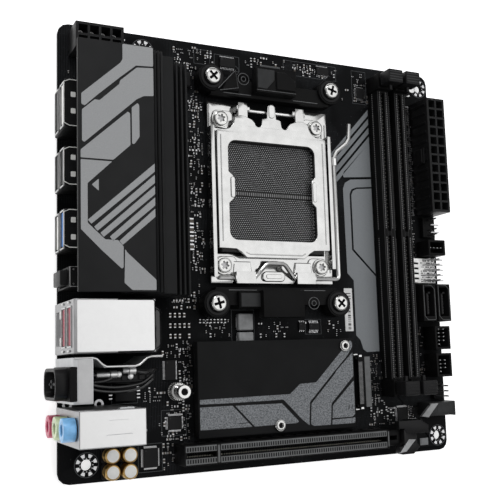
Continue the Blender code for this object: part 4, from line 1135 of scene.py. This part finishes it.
def make_antenna():
    """Threads and inner parts of the antenna socket, the card's chips, its plugs and their black leads."""
    span = Span("antenna_socket")
    mid = (span.middle.y, span.middle.z)
    inner, coax, leads, card = Shape(), Shape(), Shape(), Shape()
    for dz in (-4.2, 4.2):
        inner.turned((-4.6, mid[0], mid[1] + dz), [(1.5, 0.0), (1.6, 0.2), (1.6, 2.3)], "X", 24)
        inner.turned((-5.2, mid[0], mid[1] + dz), [(0.45, 0.0), (0.5, 0.8)], "X", 16)
    inner.box((-4.4, -2.2), (mid[0] - 0.4, mid[0] + 0.4), (mid[1] - 8.4, mid[1] + 8.4), 0.12)
    inner.piece("antenna_socket_core", "dark_grey", smooth=40)
    flange = Shape().box((-1.9, 0.55), within(span.y, -0.3), (2.0, 28.25), 0.3)
    flange.piece("antenna_socket_flange", "black")
    # The rim along the bracket's top edge is the paler tin copy: painted highlight along the edge.
    rim = Shape().tube([(x, y, 27.85) for x, y in (
        (-0.3, 44.0), (5.6, 44.0), (7.0, 43.6), (8.8, 41.8), (10.3, 40.95), (20.0, 40.9), (21.6, 41.3),
        (24.2, 43.5), (25.8, 44.0), (29.8, 44.0))], 0.4, 10)
    rim.piece("bracket_rim", "bright_tin", smooth=40)
    top = Span("wireless_module").top
    for x, y in (((8.2, 15.2), 38.2), ((17.4, 21.8), 39.3)):
        coax.turned((x[0], y, top + 1.1), [(0.9, 0.0), (1.0, 0.2), (1.0, x[1] - x[0] - 2.4),
                                            (1.35, x[1] - x[0] - 2.2), (1.35, x[1] - x[0])], "X", 20)
    for x, y, tall in ((15.9, 38.2, 1.9), (20.2, 37.4, 1.2)):
        plug = [(0.9, top - 0.4), (1.0, top - 0.2), (1.0, top + tall), (0.7, top + tall + 0.2)]
        coax.turned((x, y, 0), plug, sides=24)
    coax.piece("aerial_plugs", "tin", smooth=40)
    for x in (18.2, 21.6, 24.4, 27.0):
        card.box(about(x, 1.0), (36.2, 37.8), (top, top + 0.5), 0.12)
    card.box((8.6, 28.4), (35.7, 36.1), (top - 0.4, top + 0.15), 0.05)
    card.box((16.4, 28.4), (34.9, 35.35), (6.0, 18.0), 0.1)
    card.piece("wireless_chips", "satin_black")
    for shift in (0.0, 1.5):
        path = [(1.0, 35.6 + shift, 21.5), (4.0, 34.6 + shift, 22.8), (9.0, 33.0 + shift, 22.6),
                (16.0, 32.4 + shift, 22.0), (24.0, 33.4 + shift, 21.6), (28.2, 36.2 + shift, 21.4)]
        leads.tube(smooth_path(path), 0.55)
    for path in (
        [(8.4, 38.2, top + 1.1), (5.4, 38.0, top + 0.6), (1.0, 36.4, 19.0)],
        [(17.6, 39.3, top + 1.1), (12.0, 36.4, top + 1.0), (6.0, 35.6, top), (1.0, 34.6, 17.6)],
        [(21.4, 39.3, top + 1.1), (25.0, 38.6, top + 1.4), (30.0, 39.6, top - 2.0), (30.6, 38.0, 12.0)],
    ):
        leads.tube(smooth_path(path), 0.6)
    leads.piece("aerial_leads", "gloss_black", smooth=50)
    sleeve = Shape().slab(rectangle((0.7, 5.5), (29.4, 43.4)), (27.98, 28.08), 0.03)
    sleeve.piece("bracket_face", "bracket_tin")


def smooth_path(points, steps=5):
    """A curve through points, rounded between each pair."""
    path = [Vector(p) for p in points]
    out = []
    for i in range(len(path) - 1):
        a, b = path[max(i - 1, 0)], path[i]
        c, d = path[i + 1], path[min(i + 2, len(path) - 1)]
        for k in range(steps):
            t = k / steps
            out.append(0.5 * ((2 * b) + (c - a) * t + (2 * a - 5 * b + 4 * c - d) * t * t
                              + (3 * b - a - 3 * c + d) * t ** 3))
    return out + [path[-1]]


# ---------------------------------------------------------------- heatsinks and their printed bands

def softened(outline, radius=0.35, steps=3):
    """An outline with each corner cut to a short curve."""
    out = []
    for i, here in enumerate(outline):
        here = Vector(here)
        before, after = Vector(outline[i - 1]) - here, Vector(outline[(i + 1) % len(outline)]) - here
        r = min(radius, before.length * 0.4, after.length * 0.4)
        a, b = here + before.normalized() * r, here + after.normalized() * r
        for k in range(steps + 1):
            t = k / steps
            p = a * (1 - t) ** 2 + here * 2 * t * (1 - t) + b * t * t
            out.append((p.x, p.y))
    return out


def make_main_print():
    """Printed bands and slanting stripes on the main heatsink, and its edge line."""
    top = Span("vrm_heatsink").top
    z = (top, top + 0.06)
    ink = Shape()
    right = 27.3  # where the printed bands end, at the fins
    for outline in (
        [(16.2, 152.9), (right, 152.9), (right, 146.0), (21.0, 145.6), (15.2, 140.6), (6.7, 132.9),
         (2.9, 129.2), (1.7, 129.6), (1.7, 133.4), (15.4, 145.9), (16.2, 147.3)],
        [(21.3, 144.9), (right, 145.4), (right, 135.2), (23.7, 134.8), (21.2, 133.4), (2.7, 116.4),
         (1.9, 116.9), (1.9, 127.7), (6.3, 131.7), (8.0, 131.6), (15.0, 138.2), (15.2, 139.4)],
        [(1.4, 111.0), (12.6, 111.0), (18.7, 116.7), (18.7, 128.0), (17.9, 128.6), (1.4, 113.7)],
        [(21.4, 132.0), (22.0, 131.3), (22.0, 119.9), (20.1, 117.2), (19.3, 117.2), (19.3, 130.2)],
        [(1.4, 110.4), (12.2, 110.4), (3.7, 102.3), (3.7, 88.8), (9.6, 83.4), (14.0, 83.3), (15.9, 81.2),
         (15.8, 74.0), (15.2, 73.6), (8.5, 79.6), (1.4, 86.6)],
        [(5.1, 101.9), (7.5, 104.1), (7.5, 99.9)],
        [(16.4, 80.3), (17.1, 79.2), (right, 70.0), (right, 66.4), (18.8, 66.4), (16.1, 68.8)],
    ):
        ink.slab(softened(outline), z)
    starts = ((4.9, 88.5), (7.0, 86.2), (9.1, 84.2), (12.3, 83.0), (15.6, 81.7))
    for i, (x, y) in enumerate(starts):
        low, high = 107.9 - 4.0 * i, 110.8 - 4.0 * i
        ink.slab(softened([(x, y), (right, low), (right, high), (x - 1.15, y + 1.35)], 0.2, 2), z)
    ink.piece("main_heatsink_print", "print")
    edges = Shape()
    span = Span("vrm_heatsink")
    edges.tube([(0.75, span.y[0] + 0.4, top - 0.02), (0.75, span.y[1] - 0.4, top - 0.02)], 0.09, 8)
    edges.piece("main_heatsink_edge", "fin")


def make_storage_print():
    """Glittering bands on the flat heatsink, and three small marks."""
    top = Span("m2_heatsink").top
    z = (top, top + 0.06)
    ink = Shape()
    for outline in (
        [(51.2, 25.7), (51.2, 27.4), (89.3, 27.8), (94.0, 31.6), (101.3, 31.9), (118.0, 48.4), (118.9, 47.6),
         (118.9, 45.6), (116.2, 42.0), (109.3, 35.4), (98.1, 24.2), (97.5, 15.2), (94.4, 17.6), (86.3, 25.8),
         (64.9, 25.6)],
        [(51.2, 24.6), (64.4, 24.6), (72.6, 16.2), (51.2, 16.2)],
        [(65.6, 24.5), (85.5, 24.4), (92.9, 17.0), (91.8, 16.4), (87.2, 16.4), (73.6, 16.2)],
        [(118.9, 43.4), (118.9, 33.8), (108.0, 23.2), (107.3, 14.8), (99.4, 14.8), (98.3, 15.6), (98.8, 23.6),
         (110.0, 34.8), (111.2, 36.4)],
        [(118.9, 31.9), (118.9, 18.4), (117.6, 17.4), (108.2, 17.3), (108.6, 22.4)],
        [(108.1, 16.7), (118.9, 17.0), (118.9, 15.2), (118.2, 14.8), (108.0, 14.8)],
    ):
        ink.slab(softened(outline, 0.3), z)
    ink.piece("storage_heatsink_print", "glitter")
    marks = Shape()
    for x in (115.9, 117.3):
        marks.slab([(x, 20.4), (x + 0.25, 20.4), (x + 0.9, 22.3), (x + 0.65, 22.3)], (top + 0.06, top + 0.09))
    marks.slab([(66.8, 17.5), (71.0, 17.7), (71.0, 17.95), (66.8, 17.75)], (top + 0.06, top + 0.09))
    marks.piece("storage_heatsink_marks", "heatsink")


# ---------------------------------------------------------------- memory and expansion slots

TOWER_RISE = 2.6  # the end towers stand this far over the slot
MEMORY_KEY_Y = 94.0  # the bridge between the two rows of contacts


def make_memory_slots():
    """Rails, contact windows and latch grips of the two memory slots."""
    for number in (1, 2):
        span = Span(f"memory_slot_{number}")
        x, top = span.middle.x, span.top - TOWER_RISE
        low, high = within(span.y, 7.4)
        rails, windows, contacts = Shape(), Shape(), Shape()
        for side in (-1, 1):
            rails.box(beside(x, side, 2.75, 2.52), (low, high), (top - 0.05, top + 0.1), 0.05)
            rails.box(beside(x, side, 1.0, 0.86), (low, high), (top - 0.05, top + 0.07), 0.04)
            k, y = 0, low + 0.6
            while y < high - 0.6:
                if abs(y - MEMORY_KEY_Y) > 1.4:
                    windows.box(beside(x, side, 1.5, 1.85), (y, y + 0.45), (top - 0.02, top + 0.05), 0.02)
                    if side < 0:
                        windows.box((x - 3.05, x - 2.9), (y, y + 0.45), (3.0, 3.5), 0.03)
                    if k % 2 == 0:
                        contacts.box(beside(x, side, 0.45, 0.85), (y, y + 0.4), (3.0, top - 1.8), 0.06)
                y += 0.85
                k += 1
        rails.piece(f"memory_{number}_rails", "edge_dark")
        windows.piece(f"memory_{number}_windows", "rail_tick")
        contacts.piece(f"memory_{number}_contacts", "bronze_dark")
        for end, outer, look in (("top", 1, "edge_dark"), ("bottom", -1, "satin_black")):
            latch = f"memory_latch_{number}_{end}"
            grip = Span(latch)
            face = grip.y[max(outer, 0)]
            ridges = Shape()
            for k in range(5):
                z = grip.top - 0.9 - 1.25 * k
                ridges.box(within(grip.x, 0.5), beside(face, outer, -0.2, 0.28), about(z, 0.35), 0.14)
            for k in range(4):
                step = face - outer * (0.7 + 1.15 * k)
                z = (grip.top - 0.05, grip.top + 0.16)
                ridges.box(within(grip.x, 0.4), beside(step, -outer, 0, 0.5), z, 0.1)
            ridges.piece(f"{latch}_grip", look, body_of(latch))


def make_expansion_slot():
    """The two contact rails of the expansion slot, its contacts and skirt bars."""
    span = Span("expansion_slot")
    top = span.top
    rails, windows, contacts, skirt = Shape(), Shape(), Shape(), Shape()
    y_mid = span.middle.y
    for side in (-1, 1):
        for x in ((43.7, 55.9), (57.5, 131.0)):
            rails.box(x, beside(y_mid, side, 1.15, 3.35), (top - 0.05, top + 0.06), 0.03)
            at = x[0] + 0.5
            while at < x[1] - 0.6:
                # Near-black slabs over each contact opening on the rails: painted shade in the openings.
                windows.box((at, at + 0.52), beside(y_mid, side, 1.45, 2.85), (top + 0.03, top + 0.09), 0.015)
                contacts.box((at, at + 0.5), beside(y_mid, side, 0.5, 0.92), (5.4, top - 3.4), 0.06)
                at += 1.0
    rails.box((56.3, 57.1), about(y_mid, 3.2), (top - 0.05, top + 0.1), 0.04)
    rails.box((131.6, 132.1), about(y_mid, 3.0), (top - 0.05, top + 0.1), 0.05)
    x = 46.0
    while x < 130:
        skirt.box((x, x + 3.6), (span.y[0] - 0.25, span.y[0] + 0.1), (2.0, 4.2), 0.1)
        skirt.box((x, x + 3.6), (span.y[1] - 0.1, span.y[1] + 0.25), (2.0, 4.2), 0.1)
        x += 5.2
    rails.piece("expansion_rails", "rail_grey")
    windows.piece("expansion_window_shade", "hollow")
    contacts.piece("expansion_contacts", "bronze_dark")
    skirt.piece("expansion_skirt", "satin_black")
    latch = Span("expansion_slot_latch")
    grip = Shape()
    for k in range(4):
        x = latch.x[0] + 5.0 + 2.1 * k, latch.x[0] + 5.9 + 2.1 * k
        grip.box(x, (latch.y[1] - 0.2, latch.y[1] + 0.3), (latch.top - 4.6, latch.top - 0.6), 0.12)
    grip.piece("expansion_latch_grip", "satin_black", body_of("expansion_slot_latch"))
    tip = Shape().slab([(136.9, 1.6), (140.2, 2.0), (145.2, 6.6), (141.8, 6.9)],
                       (latch.top - 0.6, latch.top + 0.12), 0.12)
    tip.piece("expansion_latch_tip", "pale_plastic", body_of("expansion_slot_latch"))


def make_storage_connector():
    """Contacts, ears and shell of the storage card's connector."""
    span = Span("m2_connector")
    (left, right), (near, far), top = span.x, span.y, span.top
    pale, dark, ears = Shape(), Shape(), Shape()
    for k in range(int((far - near - 3.4) / 0.5)):
        y = near + 1.7 + 0.5 * k
        pale.box((left + 0.2, left + 2.1), (y, y + 0.26), (top - 0.06, top + 0.08), 0.03)
        pale.box((right - 0.2, right + 0.9), (y, y + 0.26), (0.0, 0.3), 0.03)
    dark.box((left + 2.3, left + 2.9), within(span.y, 1.2), (top, top + 0.1), 0.03)
    for y in ((near + 0.3, near + 1.4), (far - 1.4, far - 0.3)):
        dark.box((left - 0.9, left), y, (0.2, top - 0.4), 0.15)
    for y in ((near - 1.0, near + 0.9), (far - 0.9, far + 1.0)):
        ears.box((left + 0.4, left + 2.4), y, (0.0, 0.35), 0.08)
        ears.box((left + 0.6, left + 2.0), within(y, 0.5), (0.3, top + 0.05), 0.08)
    cover = Shape().box((left + 3.2, right - 0.1), within(span.y, 0.3), (top - 0.05, top + 0.08), 0.04)
    cover.piece("card_cover", "rail_grey")
    pale.piece("card_contacts", "rail_tick")
    dark.piece("card_edges", "black")
    ears.piece("card_ears", "tin")


# ---------------------------------------------------------------- headers

POWER_PITCH = 4.2
CELL_HALF, CELL_RIM = 1.72, 0.14


def make_power_details(name, node, columns, rows, x_first, y_first):
    """Contact tubes and bright cell rims of a power header."""
    sockets, rims = Shape(), Shape()
    top = Span(node).top
    for i in range(columns):
        for j in range(rows):
            x, y = x_first + POWER_PITCH * i, y_first + POWER_PITCH * j
            sockets.ring((x, y, 0), 0.55, 1.05, (0.8, 8.2), sides=20)
            x, y = about(x, CELL_HALF), about(y, CELL_HALF)
            for sides in ((x, (y[0] - CELL_RIM, y[0])), (x, (y[1], y[1] + CELL_RIM)),
                          ((x[0] - CELL_RIM, x[0]), y), ((x[1], x[1] + CELL_RIM), y)):
                rims.box(*sides, (top - 0.1, top + 0.07), 0.03)
    sockets.piece(f"{name}_contacts", "tin")
    rims.piece(f"{name}_rims", "edge_dark")


def make_power_headers():
    """Cells and clips of both power headers, and the soldered pads beside the larger one."""
    span = Span("main_power_header")
    y0 = span.middle.y
    make_power_details("main_power", "main_power_header", 2, 12, span.middle.x - 2.1, y0 - 2.1 * 11)
    clip = Shape()
    clip.box((span.x[0] - 0.75, span.x[0]), about(y0, 3.6), (3.4, 9.6), 0.25)
    clip.box((span.x[0] - 1.2, span.x[0] - 0.2), about(y0, 3.2), (7.2, 8.6), 0.25)
    for k in range(12):
        y = y0 - 2.1 * 11 + 4.2 * k
        clip.box((span.x[0] - 0.3, span.x[0]), about(y, 0.5), (0.8, 11.4), 0.12)
    clip.piece("main_power_clip", "satin_black")
    pads = Shape()
    chance = random.Random(SEED + 1)
    for k in range(50):
        y = span.y[0] + 0.6 + 1.02 * k
        if chance.random() < 0.35:
            pads.ring((158.6 + chance.choice((0, 0.35)), y, 0), 0.2, 0.5, (0, 0.12), sides=16, edge=0.03)
        else:
            x = 157.7 + chance.choice((0.0, 0.4, 0.9))
            pads.box((x, x + 0.5), (y - 0.3, y + 0.25), (0, 0.3), 0.06)
            pads.box((x + 0.9, x + 1.3), (y - 0.3, y + 0.25), (0, 0.3), 0.06)
    pads.piece("main_power_pads", "solder")
    cpu = Span("cpu_power_header")
    make_power_details("cpu_power", "cpu_power_header", 4, 2, cpu.middle.x - 6.3, cpu.middle.y - 2.1)
    clip = Shape().box(about(cpu.middle.x, 3.4), (cpu.y[0] - 0.7, cpu.y[0]), (3.4, 9.6), 0.25)
    clip.box(about(cpu.middle.x, 3.0), (cpu.y[0] - 1.1, cpu.y[0] - 0.2), (7.2, 8.6), 0.25)
    clip.piece("cpu_power_clip", "satin_black")


def pin(shape, x, y, z, half=0.32):
    """A square pin with a tapered tip."""
    shape.box(about(x, half), about(y, half), z, 0.2)


def side_pin(shape, x, y, z, half=0.3):
    """A square pin lying along x."""
    shape.box(x, about(y, half), about(z, half), 0.18)


def make_headers():
    """The pins of every open header, and the white comb of the front panel header."""
    pins, bases = Shape(), Shape()
    for number in (1, 2):
        span = Span(f"front_usb_header_{number}")
        for i in range(2):
            for j in range(5 if number == 1 else 4):
                if (i, j) != (1, 0):
                    pin(pins, span.middle.x - 1.27 + 2.54 * i, span.y[0] + 1.9 + 1.55 * (j + 0.2) * 1.05,
                        (0.4, 8.0))
    fan = Span("fan_header")
    for k in range(4):
        pin(pins, fan.middle.x - 2.9 + 1.9 * k, fan.middle.y, (0.4, 8.2))
    light = Span("lighting_header")
    for k in range(4):
        if k != 2:
            pin(pins, light.middle.x, light.y[0] + 1.0 + 2.3 * k, (0.4, 8.6))
    for y in (104.4, 99.4, 96.0):
        side_pin(pins, (165.4, 170.0), y, 3.2)
    audio = Span("audio_front_header")
    for i in range(2):
        for j in range(3):
            pin(pins, audio.x[0] + 1.25 + 2.4 * i, audio.y[0] + 1.2 + 2.2 * j, (0.4, 8.4))
    panel = Span("front_panel_header")
    left = panel.x[0]
    for i in range(3):
        for j in range(5):
            pin(pins, panel.x[1] - 1.3 - 2.54 * i, panel.y[0] + 1.1 + 2.3 * j, (0.4, 8.2), 0.34)
    for j in range(5):
        side_pin(pins, (165.8, 170.0), panel.y[0] + 1.1 + 2.3 * j, 4.4, 0.36)
    pins.piece("header_pins", "solder")
    for k in range(5):
        y = panel.y[0] + 0.2 + 2.24 * k
        bases.box((left - 0.2, left + 3.6), (y, y + 1.35), (panel.top, panel.top + 0.7), 0.15)
    back = (panel.y[0] - 0.1, panel.y[1] + 0.2)
    bases.box((left - 0.3, left + 1.7), back, (panel.top - 0.2, panel.top + 0.9), 0.2)
    bases.piece("front_panel_comb", "white")
    # Near-black slabs between the comb's fingers: painted shade in the gaps.
    gap_shade = Shape()
    for k in range(4):
        y = panel.y[0] + 1.62 + 2.24 * k
        gap_shade.box((left + 1.9, left + 4.4), (y, y + 0.75), (panel.top - 0.02, panel.top + 0.1), 0.03)
    gap_shade.piece("front_panel_gap_shade", "hollow")
    shadows = Shape()
    chance = random.Random(SEED + 2)
    for i in range(12):
        for j in range(11):
            if chance.random() < 0.55:
                x = left + 5.6 + 0.66 * i
                y = panel.y[0] + 0.5 + 0.92 * j
                w = chance.choice((0.3, 0.5, 0.7))
                shadows.box((x, x + w * 0.8), (y, y + 0.45), (panel.top - 0.02, panel.top + 0.12), 0.03)
    shadows.piece("front_panel_shadows", "hollow")


def make_drive_connectors():
    """The bent tongue, rim and contacts inside each drive connector."""
    for number in (1, 2):
        span = Span(f"sata_connector_{number}")
        tongue, rim, contacts = Shape(), Shape(), Shape()
        x, top = span.middle.x, span.top
        tongue.box((x - 0.6, x + 0.45), (span.y[0] + 3.0, span.y[1] - 3.2), (1.0, top - 1.4), 0.15)
        tongue.box((x - 0.6, x + 1.7), (span.y[1] - 4.2, span.y[1] - 3.2), (1.0, top - 1.4), 0.15)
        for k in range(7):
            y = span.y[0] + 3.8 + 1.2 * k
            contacts.box((x + 0.42, x + 0.58), about(y, 0.3), (2.0, top - 1.6), 0.04)
        inner_x, inner_y = within(span.x, 0.55), within(span.y, 0.6)
        cut = 1.7
        (left, right), (near, far) = inner_x, inner_y
        loop = [(left + cut, near), (right - 0.3, near), (right, near + 0.3), (right, far - cut),
                (right - cut, far), (left, far), (left, near + cut), (left + cut, near)]
        rim.tube([(*corner, top) for corner in loop], 0.13, 8)
        contacts.piece(f"drive_{number}_contacts", "rail_tick")
        tongue.piece(f"drive_{number}_tongue", "satin_black")
        rim.piece(f"drive_{number}_rim", "rail_grey")


def make_front_usb3():
    """The front connector's sloped cap, key and contacts."""
    span = Span("front_usb3_connector")
    cap, shell, contacts = Shape(), Shape(), Shape()
    y = span.y
    cap.slab([(150.8, y[0] + 0.2), (154.4, y[0] - 0.4), (160.0, y[1] - 0.4), (156.3, y[1] - 0.3)],
             (span.top - 1.0, span.top + 0.5), 0.15)
    cap.piece("front_usb3_cap", "pale_plastic")
    shell.box((span.x[1] - 0.7, span.x[1] + 0.15), within(y, -0.25), (0.5, span.top + 0.1), 0.15)
    shell.box((span.x[0] + 4.0, span.x[1] - 1.6), within(y, 1.2), (span.top, span.top + 0.12), 0.04)
    shell.piece("front_usb3_edge", "dark_grey")
    for k in range(6):
        near = y[0] + 1.1 + 0.62 * k, y[0] + 1.4 + 0.62 * k
        contacts.box((span.x[1] - 6.5, span.x[1] - 0.8), near, (4.4, 4.6), 0.04)
    contacts.piece("front_usb3_contacts", "gold")


# ---------------------------------------------------------------- the underside

def make_underside():
    """Solder ends of the through-hole parts, on the lower face."""
    joints = Shape()
    base = -LAMINATE_T

    def dome(x, y, r):
        cone = [(0.25, base - 1.1), (r * 0.5, base - 0.7), (r, base - 0.05), (r, base)]
        joints.turned((x, y, 0), cone, sides=14)

    main, cpu = Span("main_power_header"), Span("cpu_power_header")
    for i in range(2):
        for j in range(12):
            dome(main.middle.x - 2.1 + 4.2 * i, main.middle.y - 23.1 + 4.2 * j, 1.1)
    for i in range(4):
        for j in range(2):
            dome(cpu.middle.x - 6.3 + 4.2 * i, cpu.middle.y - 2.1 + 4.2 * j, 1.1)
    slot = Span("expansion_slot")
    for k in range(41):
        for row in about(slot.middle.y, 1.5):
            dome(45.0 + 2.1 * k, row + (1.0 if k % 2 else -1.0), 0.5)
    for node in ("display_connector", "usb_stack_lower_speed", "usb_stack_high_speed", "network_usb_stack"):
        span = Span(node)
        for i in range(3):
            for j in range(4):
                dome(5.5 + 2.8 * i, span.y[0] + 2.4 + (span.y[1] - span.y[0] - 4.8) * j / 3, 0.6)
        for y in within(span.y, 0.6):
            dome(2.4, y, 1.2)
    for number in (1, 2):
        header = Span(f"front_usb_header_{number}")
        for i in range(2):
            for j in range(4):
                dome(header.middle.x - 1.27 + 2.54 * i, header.y[0] + 1.8 + 2.1 * j, 0.7)
    joints.piece("solder_joints", "solder", smooth=50)


MAKERS = (
    refine_nodes, make_hole_rings, make_board_prints, make_small_parts, make_capacitors, make_screws,
    make_standoff, make_load_plate, make_contact_field, make_frame_details, make_brackets, make_usb_stacks,
    make_network, make_button_details, make_audio, make_antenna, make_main_print, make_storage_print,
    make_memory_slots, make_expansion_slot, make_storage_connector, make_power_headers, make_headers,
    make_drive_connectors, make_front_usb3, make_underside,
)


# ---------------------------------------------------------------- floor, light and camera

CAMERA_AT = Vector((-144.6, -43.8, 304.0)) * MM
CAMERA_AIM = Vector((4.0, -0.6, 3.9)) * MM
CAMERA_UP = Vector((0.037, 1.0, 0.0))
LENS = 59.4
SHIFT = (-0.04, 0.008)
FLOOR_HALF = 3.0  # metres
FLOOR_GAP = 0.0002


def make_floor():
    """A pale floor just under the lowest solid."""
    floor = bpy.data.meshes.new("floor")
    side = about(0, FLOOR_HALF)
    corners = [(x, y, CAD_BOX[0].z - FLOOR_GAP) for x, y in rectangle(side, side)]
    floor.from_pydata(corners, [], [(0, 1, 2, 3)])
    n = Nodes("floor")
    tone = n.ramp(n.noise(0.02, 2), 0.3, 0.7, (0.86, 0.86, 0.86, 1), (0.89, 0.89, 0.89, 1))
    n.tree.links.new(tone, n.shader.inputs["Base Color"])
    n.set(Roughness=0.9, Specular_IOR_Level=0.1, Emission_Color=(1, 1, 1, 1), Emission_Strength=0.65)
    floor.materials.append(n.material)
    obj = bpy.data.objects.new("floor", floor)
    bpy.context.scene.collection.objects.link(obj)


def area_light(name, place, size, power):
    """A white rectangle of light that looks at the middle of the board."""
    light = bpy.data.lights.new(name, "AREA")
    light.shape = "RECTANGLE"
    light.size, light.size_y = size
    light.energy = power
    obj = bpy.data.objects.new(name, light)
    bpy.context.scene.collection.objects.link(obj)
    obj.location = place
    obj.rotation_mode = "QUATERNION"
    obj.rotation_quaternion = (-Vector(place)).to_track_quat("-Z", "Y")


def make_world():
    """A white studio: bright overhead, darker towards the horizon, and plain white behind."""
    world = bpy.data.worlds.new("studio")
    world.use_nodes = True
    bpy.context.scene.world = world
    tree = world.node_tree
    back = tree.nodes["Background"]
    place = tree.nodes.new("ShaderNodeTexCoord")
    split = tree.nodes.new("ShaderNodeSeparateXYZ")
    tree.links.new(place.outputs["Generated"], split.inputs[0])
    ramp = tree.nodes.new("ShaderNodeValToRGB")
    ramp.color_ramp.elements[0].position = 0.05
    ramp.color_ramp.elements[0].color = (0.10, 0.10, 0.101, 1)
    ramp.color_ramp.elements[1].position = 0.85
    ramp.color_ramp.elements[1].color = (0.55, 0.55, 0.55, 1)
    tree.links.new(split.outputs["Z"], ramp.inputs["Fac"])
    seen = tree.nodes.new("ShaderNodeMix")
    seen.data_type = "RGBA"
    seen.inputs["B"].default_value = (1.0, 1.0, 1.0, 1)
    path = tree.nodes.new("ShaderNodeLightPath")
    tree.links.new(path.outputs["Is Camera Ray"], seen.inputs["Factor"])
    tree.links.new(ramp.outputs["Color"], seen.inputs["A"])
    tree.links.new(seen.outputs["Result"], back.inputs["Color"])


def make_lights():
    """A wide ceiling light, a key light and a low strip on the rear side."""
    area_light("ceiling", (0.40, 0.12, 0.81), (0.95, 0.95), 3.1)
    area_light("key", (-0.25, 0.75, 0.60), (0.25, 0.25), 2.6)
    area_light("strip", (-0.75, -0.35, 0.45), (0.15, 0.8), 0.8)


def make_camera():
    """The camera, high over the rear edge and looking down on the board."""
    camera = bpy.data.cameras.new("camera")
    camera.lens = LENS
    camera.sensor_width = 36.0
    camera.shift_x, camera.shift_y = SHIFT
    camera.clip_start, camera.clip_end = 0.01, 20.0
    obj = bpy.data.objects.new("camera", camera)
    bpy.context.scene.collection.objects.link(obj)
    ahead = (CAMERA_AIM - CAMERA_AT).normalized()
    right = ahead.cross(CAMERA_UP).normalized()
    up = right.cross(ahead)
    turn = Matrix((right, up, -ahead)).transposed()
    obj.matrix_world = Matrix.Translation(CAMERA_AT) @ turn.to_4x4()
    bpy.context.scene.camera = obj


def main():
    random.seed(SEED)
    bpy.context.scene.view_settings.view_transform = "Standard"
    for make in MAKERS:
        make()
    make_floor()
    make_world()
    make_lights()
    make_camera()


main()
